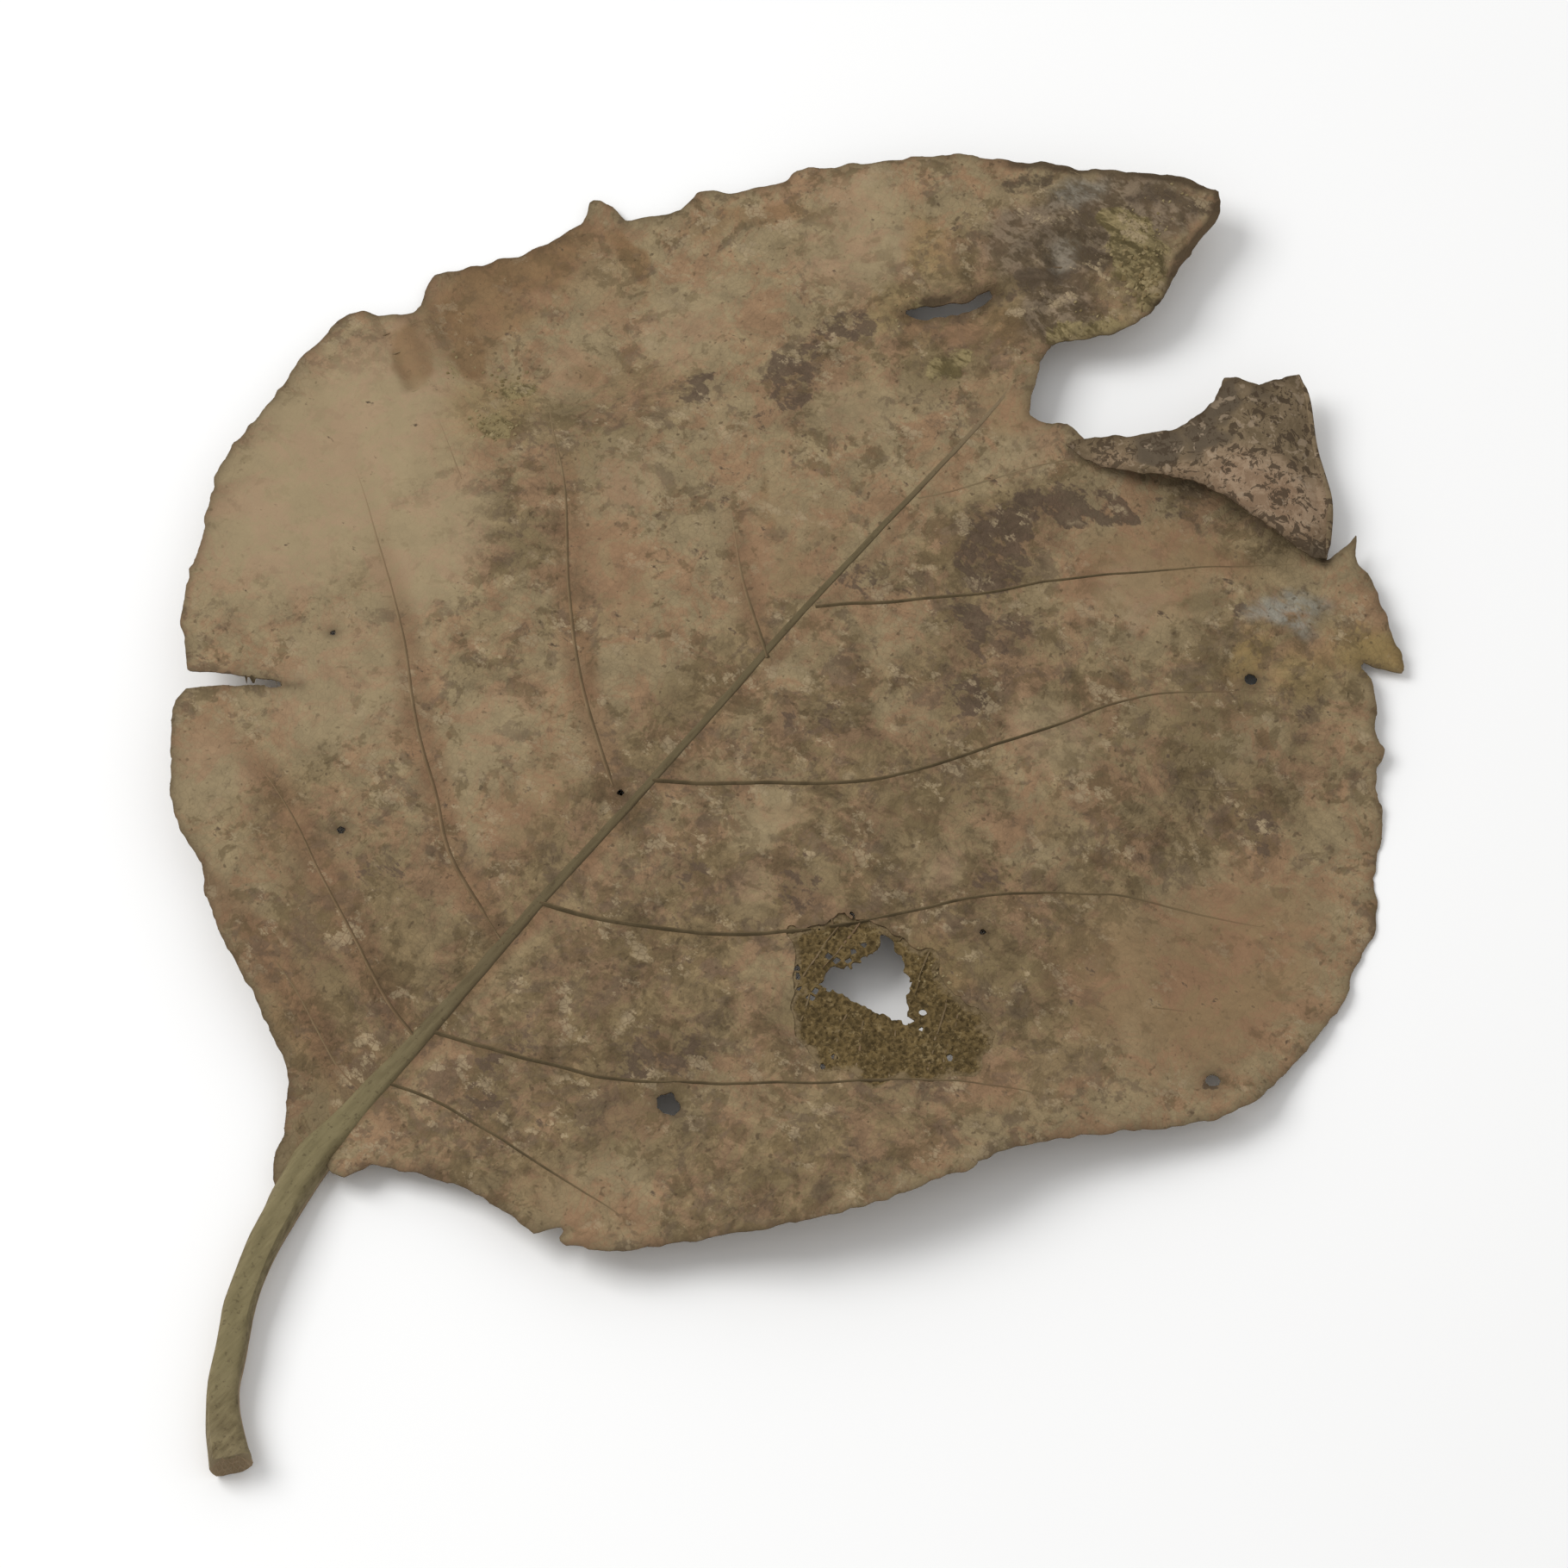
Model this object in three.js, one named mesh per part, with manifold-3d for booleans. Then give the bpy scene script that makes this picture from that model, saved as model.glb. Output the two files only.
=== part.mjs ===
// Teak leaf, dried and fallen, lying on a flat surface with its upper face up.
// Millimetres. The origin is on that surface, under the place where the leaf stalk meets the blade.
// +X runs along the midrib to the tip, +Y to the left half of the blade, +Z is up.
// The leaf grew as one piece: blade, midrib, side veins, net veins, folded flap and stalk are one solid.

import * as THREE from "three";
import { mergeVertices } from "three/addons/utils/BufferGeometryUtils.js";
import Module from "manifold-3d";

const wasm = await Module();
wasm.setup();

// Driving dimensions
const bladeLength = 205;
const bladeThickness = 0.8;
const leftHalfWidth = 88;
const rightHalfWidth = 96;
const bladeCentre = [100, -5];
const midribY = -1;
const marginStep = 3.4;
const weldDistance = 1e-4;
const seed = 11;

// Heights of the middle of the blade above the surface it lies on
const heightAtStalk = 3.6;
const archHeight = 2.6;
const leftBaseLift = 6.0;
const rightBaseLift = 8.0;
const tipSideDrop = 6.5;
const tipLift = 2.4;
const sideCurve = 1.6;
const baseLiftFade = [15, 100];
const dropGrowth = [55, 130];
const dropFade = [150, 200];
const tipLiftGrowth = [150, 205];
const longWave = { height: 1.0, count: 5, start: 0.6 };
const shortWave = { height: 0.55, count: 11, start: 2 };
const clearHeight = 1.8;
const restHeight = bladeThickness / 2;
const restRadius = 10.5;
const restFade = 28;
const restSpots = [[121, -80], [131, 62]];

// Veins: the side veins and the ladder of net veins are ridges of the blade itself
const veinFoot = 1.1;
const veinTopProud = 0.2;
const valleyDepth = 0.55;
const valleyWidth = 6;
const netVeinTopProud = 0.08;
const netVeinUnderProud = 0.38;
const veinRows = 13;
const veinFade = 0.85;
const veinLineStep = 9;
const columnSpacing = 10.5;

// Folded flap
const flapThickness = 0.8;
const flapRise = 4.6;
const flapBend = 7;
const flapRootGap = 0.5;
const flapStuckShare = 0.25;
const flapGrid = 4;
const flapLow = [152, -56];
const flapHigh = [192, -8];

// Skeleton patch: round the rotted hole, the blade has small openings between its net veins
const netHoleSpacing = 3.6;
const netHoleRadius = 1.0;
const netHoleJitter = 0.5;
const netHoleVariation = 0.15;
const netHoleRows = 5;
const netHoleColumns = 4;
const netHoleCorners = 5;
const netStrand = 0.8;
const netReach = 4.6;

// The margin seen from above, in stretches that meet at corners
const leftMargin = [
  [-9, -1.8], [-6.5, 0.6], [-4, 2.5], [-1, 3.8], [5, 7.8], [7, 10], [10.5, 16.5], [15, 27],
  [19, 34.5], [24, 41], [27, 48], [33, 54], [40, 59.2], [43.5, 60.3],
];
const tearLeftSide = [[43.5, 60.3], [47.4, 56.0], [50.5, 52.0], [54, 47.8]];
const tearRightSide = [[54, 47.8], [51.0, 52.5], [48.1, 56.8], [45.2, 61.3]];
const upperMargin = [
  [45.2, 61.3], [50, 66.5], [55.5, 71], [65, 76], [75, 81.5], [85, 83.5], [100, 86], [110, 86], [112, 83.5],
];
const pleatedMargin = [
  [112, 83.5], [114, 80.5], [117, 79], [120, 80.5], [122, 81.5], [127, 79], [137, 73], [145, 70.7], [148, 72],
];
const brokenTab = [[148, 72], [149.5, 70.5], [149, 65.5]];
const brokenMargin = [[149, 65.5], [155, 60.3], [159, 60], [163, 55], [168.5, 50.3]];
const tipLeftMargin = [
  [168.5, 50.3], [170.8, 50.3], [175, 45.5], [180, 39.5], [187.5, 31], [191, 24.5], [195, 17],
  [197.5, 12.5], [200.5, 8], [203.5, 3.5], [205, -3],
];
const tipLobe = [
  [205, -3], [202, -5.3], [197.5, -6.2], [190, -6.8], [186, -7.9], [182.5, -8.3], [179, -7.8],
  [175, -6], [172, -3.5], [169, 0],
];
const tipNotch = [
  [169, 0], [166, -0.2], [160, -2.3], [156.5, -5], [157.2, -8], [158.6, -10], [158.5, -14],
];
const flapUpperEdge = [
  [158.5, -14], [162.5, -18.5], [165, -20.5], [167.5, -23], [170, -24], [174, -24.5], [178.5, -23.5],
];
const flapCorner = [[178.5, -23.5], [180.3, -25.5], [180.8, -28.3], [184, -29.6], [187, -31]];
const foldLine = [[187, -31], [185, -34], [179, -40], [172.5, -47.5], [165, -52.6]];
const rightTooth = [[165, -52.6], [170.6, -53.8]];
const rightMargin = [
  [170.6, -53.8], [167.5, -57], [167, -59], [163.3, -64.5], [161.5, -67.3], [159.5, -71], [157.3, -72.5],
];
const crackedTab = [[157.3, -72.5], [155.6, -69], [154.3, -66], [153.6, -69.2]];
const lowerRightMargin = [
  [153.6, -69.2], [150, -73], [147.5, -74.5], [145, -77.5], [140.5, -80], [136, -84.5], [129.5, -88],
  [120.5, -94.3], [115, -95.3], [109, -97.3], [100, -98], [90, -98.1], [83.5, -97], [77.5, -93],
  [70.5, -86.8], [63, -80.5], [56, -76.5], [50, -74.3], [40, -68.8], [32.5, -63.3], [26, -57.5],
  [18.5, -49.5], [13.3, -44.5], [9.8, -38.3],
];
const baseTear = [[9.8, -38.3], [10, -36.2], [13, -36.8], [8.9, -33.6]];
const baseMargin = [[8.9, -33.6], [8.5, -28], [8, -21], [6.5, -15.5], [3.3, -9]];
const basalEar = [[3.3, -9], [0.5, -7.8], [-0.8, -6.3], [0.2, -3]];
const stalkJunction = [[0.2, -3], [-5, -3], [-9, -1.8]];
const marginStretches = [
  leftMargin, tearLeftSide, tearRightSide, upperMargin, pleatedMargin, brokenTab, brokenMargin,
  tipLeftMargin, tipLobe, tipNotch, flapUpperEdge, flapCorner, foldLine, rightTooth, rightMargin,
  crackedTab, lowerRightMargin, baseTear, baseMargin, basalEar, stalkJunction,
];

// Holes and slits, seen from above
const rottedHole = [
  [62.3, -40], [66.5, -39.6], [68, -41.8], [71, -42.4], [74.7, -41.8], [74.9, -44], [73.2, -47],
  [71, -50], [68, -52.5], [65.2, -54], [63.6, -50], [63, -45],
];
const smallHole = [[33.6, -34.4], [35.4, -33.6], [37, -34.8], [36.4, -37], [34.3, -37.4]];
const tipSlit = [
  [158.6, 21.8], [161.4, 19.6], [164, 17], [166.5, 15], [168.5, 14.2], [170.4, 13.6], [170.2, 12.6],
  [167.6, 12.8], [164.4, 14.4], [161, 17.4],
];
const pinholes = [[40, 28, 0.8], [142, -56.2, 1.1], [64, 50, 0.7], [86, -91.5, 1.1]];
const pinholeCorners = 6;
const patchCentre = [67, -47.5];

// The flap seen from above
const flapOutline = [
  [155.2, -12.4], [158.4, -14.4], [162.2, -18.8], [164.7, -20.9], [167.2, -23.4], [170, -24.4],
  [174, -24.9], [178.3, -23.9], [179.9, -25.7], [180.4, -28.6], [183.8, -30], [187.6, -31.2],
  [185.5, -34.4], [179.5, -40.4], [173, -47.9], [165, -53.1], [163.5, -51.7], [162.3, -47],
  [161.8, -40], [161.5, -34], [160, -30], [158.5, -26], [156, -21], [154.8, -16],
];
const foldStart = [187, -31];
const foldEnd = [165, -52.6];
const flapStuckY = -14;
const flapLooseY = -32;

// Stalk and midrib: places along them with their radius
const stalkLine = [
  { at: [-42.3, -22.6, 3.0], radius: 3.2 },
  { at: [-41, -20.9, 2.9], radius: 2.9 },
  { at: [-38.6, -18.2, 2.9], radius: 2.5 },
  { at: [-35, -15, 3.0], radius: 2.3 },
  { at: [-30, -12, 3.3], radius: 2.2 },
  { at: [-25, -9, 3.5], radius: 2.2 },
  { at: [-20, -6.8, 3.6], radius: 2.2 },
  { at: [-15, -5, 3.5], radius: 2.25 },
  { at: [-10, -3.5, 3.0], radius: 2.4 },
  { at: [-5, -2.1, 2.4], radius: 2.7 },
  { at: [0, -1.1, 2.0], radius: 2.95 },
];
const midribLine = [
  { at: [6, -1.1], radius: 2.6, topProud: 0.95 },
  { at: [13, -1.1], radius: 2.25, topProud: 0.85 },
  { at: [22, -1.2], radius: 1.95, topProud: 0.7 },
  { at: [35, -1.0], radius: 1.7, topProud: 0.55 },
  { at: [50, -0.8], radius: 1.5, topProud: 0.45 },
  { at: [70, -0.9], radius: 1.3, topProud: 0.4 },
  { at: [90, -0.5], radius: 1.1, topProud: 0.35 },
  { at: [110, 0], radius: 0.95, topProud: 0.3 },
  { at: [130, 0], radius: 0.8, topProud: 0.25 },
  { at: [150, 0], radius: 0.65, topProud: 0.2 },
  { at: [166, 0.8], radius: 0.5, topProud: 0.1 },
];
const stalkSides = 10;
const stalkSquareness = 0.07;
const channelDepth = 0.16;
const channelWidth = 0.35;

// Upright prisms and the box above the surface, which only have to be large enough
const prismLow = -20;
const prismHeight = 60;
const roomWidth = 400;

// Side veins from the midrib to just past the margin, on the left half and on the right half.
// rib is how far a vein stands out below the blade where it leaves the midrib; lines whose rib is 0
// carry no vein and only bound the blade at its base and tip.
const leftVeins = [
  { rib: 0, path: [[-14, -1], [-15, 2], [-16, 4]] },
  { rib: 0.5, path: [[11, -1], [12, 5], [14, 10], [17, 17], [20, 28], [22, 43]] },
  { rib: 0.7, path: [[22, -1], [24, 6], [28, 15], [33, 26], [38, 36], [41, 46], [41.5, 56], [42, 66]] },
  { rib: 1.1, path: [[41, -1], [47, 14], [53, 21.5], [60, 31], [70, 42], [81, 56.5], [90, 70], [99, 93]] },
  { rib: 1.0, path: [[67, -1], [80, 17], [91, 28.5], [105, 41], [112, 49], [124, 62], [138, 83]] },
  { rib: 0.9, path: [[100, -1], [108, 10], [115, 17.5], [126, 29], [140, 42], [149, 51], [163, 68]] },
  { rib: 0.6, path: [[128, -1], [136, 9], [146, 19], [155, 28], [166, 38], [182, 52]] },
  { rib: 0.4, path: [[150, -1], [158, 7], [172, 15], [184, 22], [201, 31]] },
  { rib: 0, path: [[175, -1], [183, 5], [192, 11], [208, 22]] },
  { rib: 0, path: [[213, -1], [215, 1], [217, 3]] },
];
const rightVeins = [
  { rib: 0, path: [[-14, -1], [-15, -4], [-15, -8]] },
  { rib: 0.6, path: [[14, -1], [16.5, -9], [17, -15], [17.5, -28], [18, -42], [18, -56]] },
  { rib: 1.0, path: [[24, -1], [28, -12], [34, -27], [40, -36], [50, -49.5], [67, -72], [78, -103]] },
  { rib: 1.2, path: [[49, -1], [53, -11], [63, -27], [76, -39.5], [88, -48], [101, -62], [124, -104]] },
  { rib: 1.1, path: [[74, -1], [80, -9], [95, -26], [115, -38], [130, -46.5], [140, -57], [160, -80]] },
  { rib: 0.8, path: [[111, -1], [120, -10], [128, -18], [137, -25], [150, -37], [160, -48], [174, -64]] },
  { rib: 0.5, path: [[135, -1], [142, -6], [152, -12], [165, -25], [187, -49]] },
  { rib: 0, path: [[160, -1], [168, -7], [178, -17], [197, -36]] },
  { rib: 0, path: [[190, -1], [195, -6], [207, -17]] },
  { rib: 0, path: [[213, -1], [215, -3], [217, -6]] },
];

function clamp(value, low, high) {
  return Math.min(Math.max(value, low), high);
}

function smoothStep(low, high, value) {
  const t = clamp((value - low) / (high - low), 0, 1);
  return t * t * (3 - 2 * t);
}

function mix(a, b, t) {
  return a + (b - a) * t;
}

// Repeatable random numbers from 0 to 1
function randomSource(start) {
  let state = start;
  return () => {
    state = (state * 1664525 + 1013904223) % 4294967296;
    return state / 4294967296;
  };
}

function smoothLine(points, step) {
  const vectors = points.map((p) => new THREE.Vector3(p[0], p[1], p[2] ?? 0));
  if (points.length < 3) return vectors;
  const curve = new THREE.CatmullRomCurve3(vectors, false, "centripetal");
  return curve.getSpacedPoints(Math.max(2, Math.round(curve.getLength() / step)));
}

function distanceToSegment(x, y, a, b) {
  const run = [b.x - a.x, b.y - a.y];
  const t = clamp(((x - a.x) * run[0] + (y - a.y) * run[1]) / (run[0] ** 2 + run[1] ** 2), 0, 1);
  return Math.hypot(x - a.x - run[0] * t, y - a.y - run[1] * t);
}

function distanceToLine(x, y, line) {
  let nearest = Infinity;
  for (let i = 1; i < line.length; i += 1) {
    nearest = Math.min(nearest, distanceToSegment(x, y, line[i - 1], line[i]));
  }
  return nearest;
}

const trueVeins = [...leftVeins, ...rightVeins].filter((vein) => vein.rib > 0);
const veinLines = trueVeins.map((vein) => smoothLine(vein.path, veinLineStep));

function distanceToVeins(x, y) {
  return Math.min(Math.abs(y - midribY), ...veinLines.map((line) => distanceToLine(x, y, line)));
}

// Long waves that grow from the middle of the blade to its margin
function marginWave(x, y) {
  const dx = x - bladeCentre[0];
  const dy = y - bladeCentre[1];
  const turn = Math.atan2(dy, dx);
  const reach = Math.min(Math.hypot(dx / (bladeLength / 2), dy / rightHalfWidth), 1.2);
  const wave = ({ height, count, start }) => height * Math.sin(count * turn + start);
  return (wave(longWave) + wave(shortWave)) * reach ** 2;
}

// 0 on the spots that the leaf rests on, 1 away from them
function awayFromRest(x, y) {
  const distances = restSpots.map(([restX, restY]) => Math.hypot(x - restX, y - restY));
  return smoothStep(restRadius, restFade, Math.min(...distances));
}

// Height of the middle of the blade above the surface that the leaf lies on
function bladeHeight(x, y) {
  const along = clamp(x / bladeLength, 0, 1);
  const across = Math.abs(y) / (y > 0 ? leftHalfWidth : rightHalfWidth);
  const baseLift = (y > 0 ? leftBaseLift : rightBaseLift) * (1 - smoothStep(...baseLiftFade, x));
  const drop = tipSideDrop * smoothStep(...dropGrowth, x) * (1 - smoothStep(...dropFade, x) / 2);
  const valley = valleyDepth * (1 - Math.exp(-((distanceToVeins(x, y) / valleyWidth) ** 2)));
  let height = heightAtStalk + archHeight * Math.sin(Math.PI * along);
  height += (baseLift - drop) * across ** sideCurve;
  height += tipLift * smoothStep(...tipLiftGrowth, x) + valley + marginWave(x, y);
  return mix(restHeight, Math.max(height, clearHeight), awayFromRest(x, y));
}

function solidOf(geometry) {
  const bare = geometry.clone();
  bare.deleteAttribute("normal");
  bare.deleteAttribute("uv");
  const merged = mergeVertices(bare, weldDistance);
  const vertProperties = Float32Array.from(merged.attributes.position.array);
  const triVerts = Uint32Array.from(merged.index.array);
  return new wasm.Manifold(new wasm.Mesh({ numProp: 3, vertProperties, triVerts }));
}

function geometryOf(solid) {
  const mesh = solid.getMesh();
  const geometry = new THREE.BufferGeometry();
  geometry.setAttribute("position", new THREE.BufferAttribute(Float32Array.from(mesh.vertProperties), 3));
  geometry.setIndex(new THREE.BufferAttribute(Uint32Array.from(mesh.triVerts), 1));
  geometry.computeVertexNormals();
  return geometry;
}

// Closed sheet between two heights at each place, split into triangles alike on both faces
function closedSheet(places, triangles, topAt, bottomAt) {
  const count = places.length;
  const top = places.flatMap((place) => [place.x, place.y, topAt(place)]);
  const bottom = places.flatMap((place) => [place.x, place.y, bottomAt(place)]);
  const edges = new Set(triangles.flatMap(([a, b, c]) => [`${a},${b}`, `${b},${c}`, `${c},${a}`]));
  const index = triangles.flatMap(([a, b, c]) => [a, b, c, c + count, b + count, a + count]);
  for (const edge of edges) {
    const [a, b] = edge.split(",").map(Number);
    if (!edges.has(`${b},${a}`)) index.push(b, a, a + count, b, a + count, b + count);
  }
  const geometry = new THREE.BufferGeometry();
  geometry.setAttribute("position", new THREE.Float32BufferAttribute([...top, ...bottom], 3));
  geometry.setIndex(index);
  return geometry;
}

// Two triangles for each square between neighbouring columns of places
function gridTriangles(columns, rows, at) {
  const triangles = [];
  for (let i = 0; i + 1 < columns; i += 1) {
    for (let j = 0; j + 1 < rows; j += 1) {
      const corners = [at(i, j), at(i + 1, j), at(i + 1, j + 1), at(i, j + 1)];
      const turned = (i + j) % 2;
      triangles.push([corners[turned], corners[turned + 1], corners[(turned + 2) % 4]]);
      triangles.push([corners[turned], corners[(turned + 2) % 4], corners[(turned + 3) % 4]]);
    }
  }
  return triangles;
}

// Lines from the midrib to past the margin: three for a vein, its crest and its two feet, and enough
// between the veins to follow the waves of the blade
function columnsBetweenVeins(veins) {
  const curves = veins.map(({ path }) => {
    return new THREE.CatmullRomCurve3(path.map(([x, y]) => new THREE.Vector3(x, y, 0)), false, "centripetal");
  });
  const columns = [];
  for (let k = 0; k + 1 < veins.length; k += 1) {
    const [inner, outer] = [curves[k], curves[k + 1]];
    const gap = veins[k + 1].path[0][0] - veins[k].path[0][0];
    const count = Math.ceil(outer.getPointAt(1).distanceTo(inner.getPointAt(1)) / columnSpacing);
    const shares = [0];
    if (veins[k].rib > 0) shares.push(veinFoot / gap);
    for (let n = 1; n < count; n += 1) shares.push(n / count);
    if (veins[k + 1].rib > 0) shares.push(1 - veinFoot / gap);
    if (k + 2 === veins.length) shares.push(1);
    for (const share of shares) {
      const start = mix(veins[k].path[0][0], veins[k + 1].path[0][0], share);
      const pointAt = (t) => inner.getPointAt(t).lerp(outer.getPointAt(t), share);
      const rib = share === 0 ? veins[k].rib : 0;
      columns.push({ start, pointAt, rib });
    }
  }
  return columns;
}

// Triangles of the strip from the midrib's places to the first row of a half
function stripTriangles(near, far) {
  const triangles = [];
  let i = 0;
  let j = 0;
  while (i + 1 < near.length || j + 1 < far.length) {
    const nearStart = near[i + 1]?.start ?? Infinity;
    const farStart = far[j + 1]?.start ?? Infinity;
    if (nearStart <= farStart) {
      triangles.push([near[i].number, near[i + 1].number, far[j].number]);
      i += 1;
    } else {
      triangles.push([near[i].number, far[j + 1].number, far[j].number]);
      j += 1;
    }
  }
  return triangles;
}

// The blade as a sheet whose lines follow the veins, wide enough to be trimmed to its margin
function bladeSheet() {
  const places = [];
  const triangles = [];
  const addPlace = (x, y, start, rib, ladder) => {
    const place = { x, y, start, rib, ladder, number: places.length };
    places.push(place);
    return place;
  };
  const halves = [leftVeins, rightVeins].map(columnsBetweenVeins);
  const starts = [...new Set(halves.flat().map((column) => column.start))].sort((a, b) => a - b);
  const middle = starts.map((start) => addPlace(start, midribY, start, 0, 0));
  halves.forEach((columns, half) => {
    const grid = columns.map((column) => {
      const line = [];
      for (let row = 1; row <= veinRows; row += 1) {
        const t = row / veinRows;
        const { x, y } = column.pointAt(t);
        line.push(addPlace(x, y, column.start, column.rib * (1 - veinFade * t), row % 2));
      }
      return line;
    });
    const strip = stripTriangles(middle, grid.map((line) => line[0]));
    const field = gridTriangles(grid.length, veinRows, (i, j) => grid[i][j].number);
    const turned = [...strip, ...field].map(([a, b, c]) => (half === 0 ? [a, b, c] : [a, c, b]));
    triangles.push(...turned);
  });
  const topAt = ({ x, y, rib, ladder }) => {
    const proud = rib > 0 ? veinTopProud : ladder * netVeinTopProud;
    return bladeHeight(x, y) + bladeThickness / 2 + proud;
  };
  const bottomAt = ({ x, y, rib, ladder }) => {
    const proud = Math.max(rib, ladder * netVeinUnderProud) * awayFromRest(x, y);
    return bladeHeight(x, y) - bladeThickness / 2 - proud;
  };
  return solidOf(closedSheet(places, triangles, topAt, bottomAt));
}

// Closed tube of rings, each with its own radius; section gives the radius factor round the ring
function taperedTube(rings, sides, section) {
  const centres = rings.map((ring) => new THREE.Vector3(...ring.at));
  const positions = [];
  rings.forEach((ring, n) => {
    const before = centres[Math.max(n - 1, 0)];
    const after = centres[Math.min(n + 1, centres.length - 1)];
    const forward = after.clone().sub(before).normalize();
    const side = new THREE.Vector3(0, 0, 1).cross(forward).normalize();
    const up = forward.clone().cross(side);
    for (let k = 0; k < sides; k += 1) {
      const turn = (2 * Math.PI * k) / sides;
      const radius = ring.radius * section(turn);
      const point = centres[n].clone().addScaledVector(side, radius * Math.cos(turn));
      point.addScaledVector(up, radius * Math.sin(turn));
      positions.push(point.x, point.y, point.z);
    }
  });
  const index = [];
  for (let n = 0; n + 1 < rings.length; n += 1) {
    for (let k = 0; k < sides; k += 1) {
      const a = n * sides + k;
      const b = n * sides + ((k + 1) % sides);
      index.push(a, b, a + sides, b, b + sides, a + sides);
    }
  }
  const last = (rings.length - 1) * sides;
  for (let k = 1; k + 1 < sides; k += 1) {
    index.push(0, k + 1, k, last, last + k, last + k + 1);
  }
  const geometry = new THREE.BufferGeometry();
  geometry.setAttribute("position", new THREE.Float32BufferAttribute(positions, 3));
  geometry.setIndex(index);
  return geometry;
}

// Shape whose outline runs anticlockwise, whichever way its points are listed
function shapeFrom(points) {
  const outline = points.map((p) => new THREE.Vector2(p.x ?? p[0], p.y ?? p[1]));
  return new THREE.Shape(THREE.ShapeUtils.isClockWise(outline) ? outline.reverse() : outline);
}

function marginOutline() {
  return marginStretches.flatMap((stretch) => smoothLine(stretch, marginStep).slice(0, -1));
}

function roundHole(x, y, radius, corners, startTurn) {
  const points = [];
  for (let k = 0; k < corners; k += 1) {
    const turn = startTurn + (2 * Math.PI * k) / corners;
    points.push([x + radius * Math.cos(turn), y + radius * Math.sin(turn)]);
  }
  return points;
}

// Openings of the net beside the rotted hole, on a staggered grid with a little unevenness
function netHoles() {
  const random = randomSource(seed);
  const hole = rottedHole.map((p) => new THREE.Vector3(p[0], p[1], 0));
  const holeEdge = [...hole, hole[0]];
  const rowHeight = (netHoleSpacing * Math.sqrt(3)) / 2;
  const holes = [];
  for (let row = -netHoleRows; row <= netHoleRows; row += 1) {
    for (let column = -netHoleColumns; column <= netHoleColumns; column += 1) {
      const shift = (row & 1) / 2;
      const x = patchCentre[0] + (column + shift) * netHoleSpacing + (random() - 0.5) * netHoleJitter;
      const y = patchCentre[1] + row * rowHeight + (random() - 0.5) * netHoleJitter;
      const radius = netHoleRadius * mix(1 - netHoleVariation, 1 + netHoleVariation, random());
      const startTurn = random() * Math.PI;
      const fromHole = distanceToLine(x, y, holeEdge);
      const inReach = fromHole > radius + netStrand && fromHole < netReach;
      const offVeins = veinLines.every((line) => distanceToLine(x, y, line) > radius + netStrand);
      if (inReach && offVeins && !pointInOutline(x, y, rottedHole)) {
        holes.push(roundHole(x, y, radius, netHoleCorners, startTurn));
      }
    }
  }
  return holes;
}

function pointInOutline(x, y, outline) {
  let inside = false;
  for (let i = 0, j = outline.length - 1; i < outline.length; j = i, i += 1) {
    const [ax, ay] = outline[i];
    const [bx, by] = outline[j];
    if (ay > y !== by > y && x < ((bx - ax) * (y - ay)) / (by - ay) + ax) inside = !inside;
  }
  return inside;
}

// Upright prism that trims a sheet to its outline
function trimmingPrism(shape) {
  const geometry = new THREE.ExtrudeGeometry(shape, { depth: prismHeight, bevelEnabled: false });
  geometry.translate(0, 0, prismLow);
  return solidOf(geometry);
}

function bladePrism() {
  const shape = shapeFrom(marginOutline());
  const cuts = [rottedHole, smallHole, tipSlit, ...netHoles()];
  for (const [x, y, radius] of pinholes) {
    cuts.push(roundHole(x, y, radius, pinholeCorners, 0));
  }
  shape.holes = cuts.map((cut) => shapeFrom(cut));
  return trimmingPrism(shape);
}

function flapHeight(x, y) {
  const run = [foldEnd[0] - foldStart[0], foldEnd[1] - foldStart[1]];
  const length = Math.hypot(...run);
  const fromFold = ((x - foldStart[0]) * run[1] - (y - foldStart[1]) * run[0]) / length;
  const raised = 1 - Math.exp(-Math.max(fromFold, 0) / flapBend);
  const loose = mix(flapStuckShare, 1, smoothStep(flapStuckY, flapLooseY, y));
  return bladeHeight(x, y) + flapRootGap + flapRise * raised * loose;
}

function foldedFlap() {
  const columns = Math.round((flapHigh[0] - flapLow[0]) / flapGrid) + 1;
  const rows = Math.round((flapHigh[1] - flapLow[1]) / flapGrid) + 1;
  const places = [];
  for (let i = 0; i < columns; i += 1) {
    for (let j = 0; j < rows; j += 1) {
      places.push({ x: flapLow[0] + i * flapGrid, y: flapLow[1] + j * flapGrid });
    }
  }
  const triangles = gridTriangles(columns, rows, (i, j) => i * rows + j);
  const topAt = ({ x, y }) => flapHeight(x, y) + flapThickness / 2;
  const bottomAt = ({ x, y }) => flapHeight(x, y) - flapThickness / 2;
  const flap = solidOf(closedSheet(places, triangles, topAt, bottomAt));
  return flap.intersect(trimmingPrism(shapeFrom(flapOutline)));
}

// The stalk is squarish, with a shallow channel along its upper side
function stalkSection(turn) {
  const square = 1 + stalkSquareness * Math.cos(4 * turn + Math.PI);
  const channel = channelDepth * Math.exp(-(((turn - Math.PI / 2) / channelWidth) ** 2));
  return square - channel;
}

function stalkAndMidrib() {
  const midrib = midribLine.map(({ at: [x, y], radius, topProud }) => {
    const z = bladeHeight(x, y) + bladeThickness / 2 + topProud - radius;
    return { at: [x, y, z], radius };
  });
  return solidOf(taperedTube([...stalkLine, ...midrib], stalkSides, stalkSection));
}

function aboveSurface() {
  const box = new THREE.BoxGeometry(roomWidth, roomWidth, prismHeight);
  box.translate(0, 0, prismHeight / 2);
  return solidOf(box);
}

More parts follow.
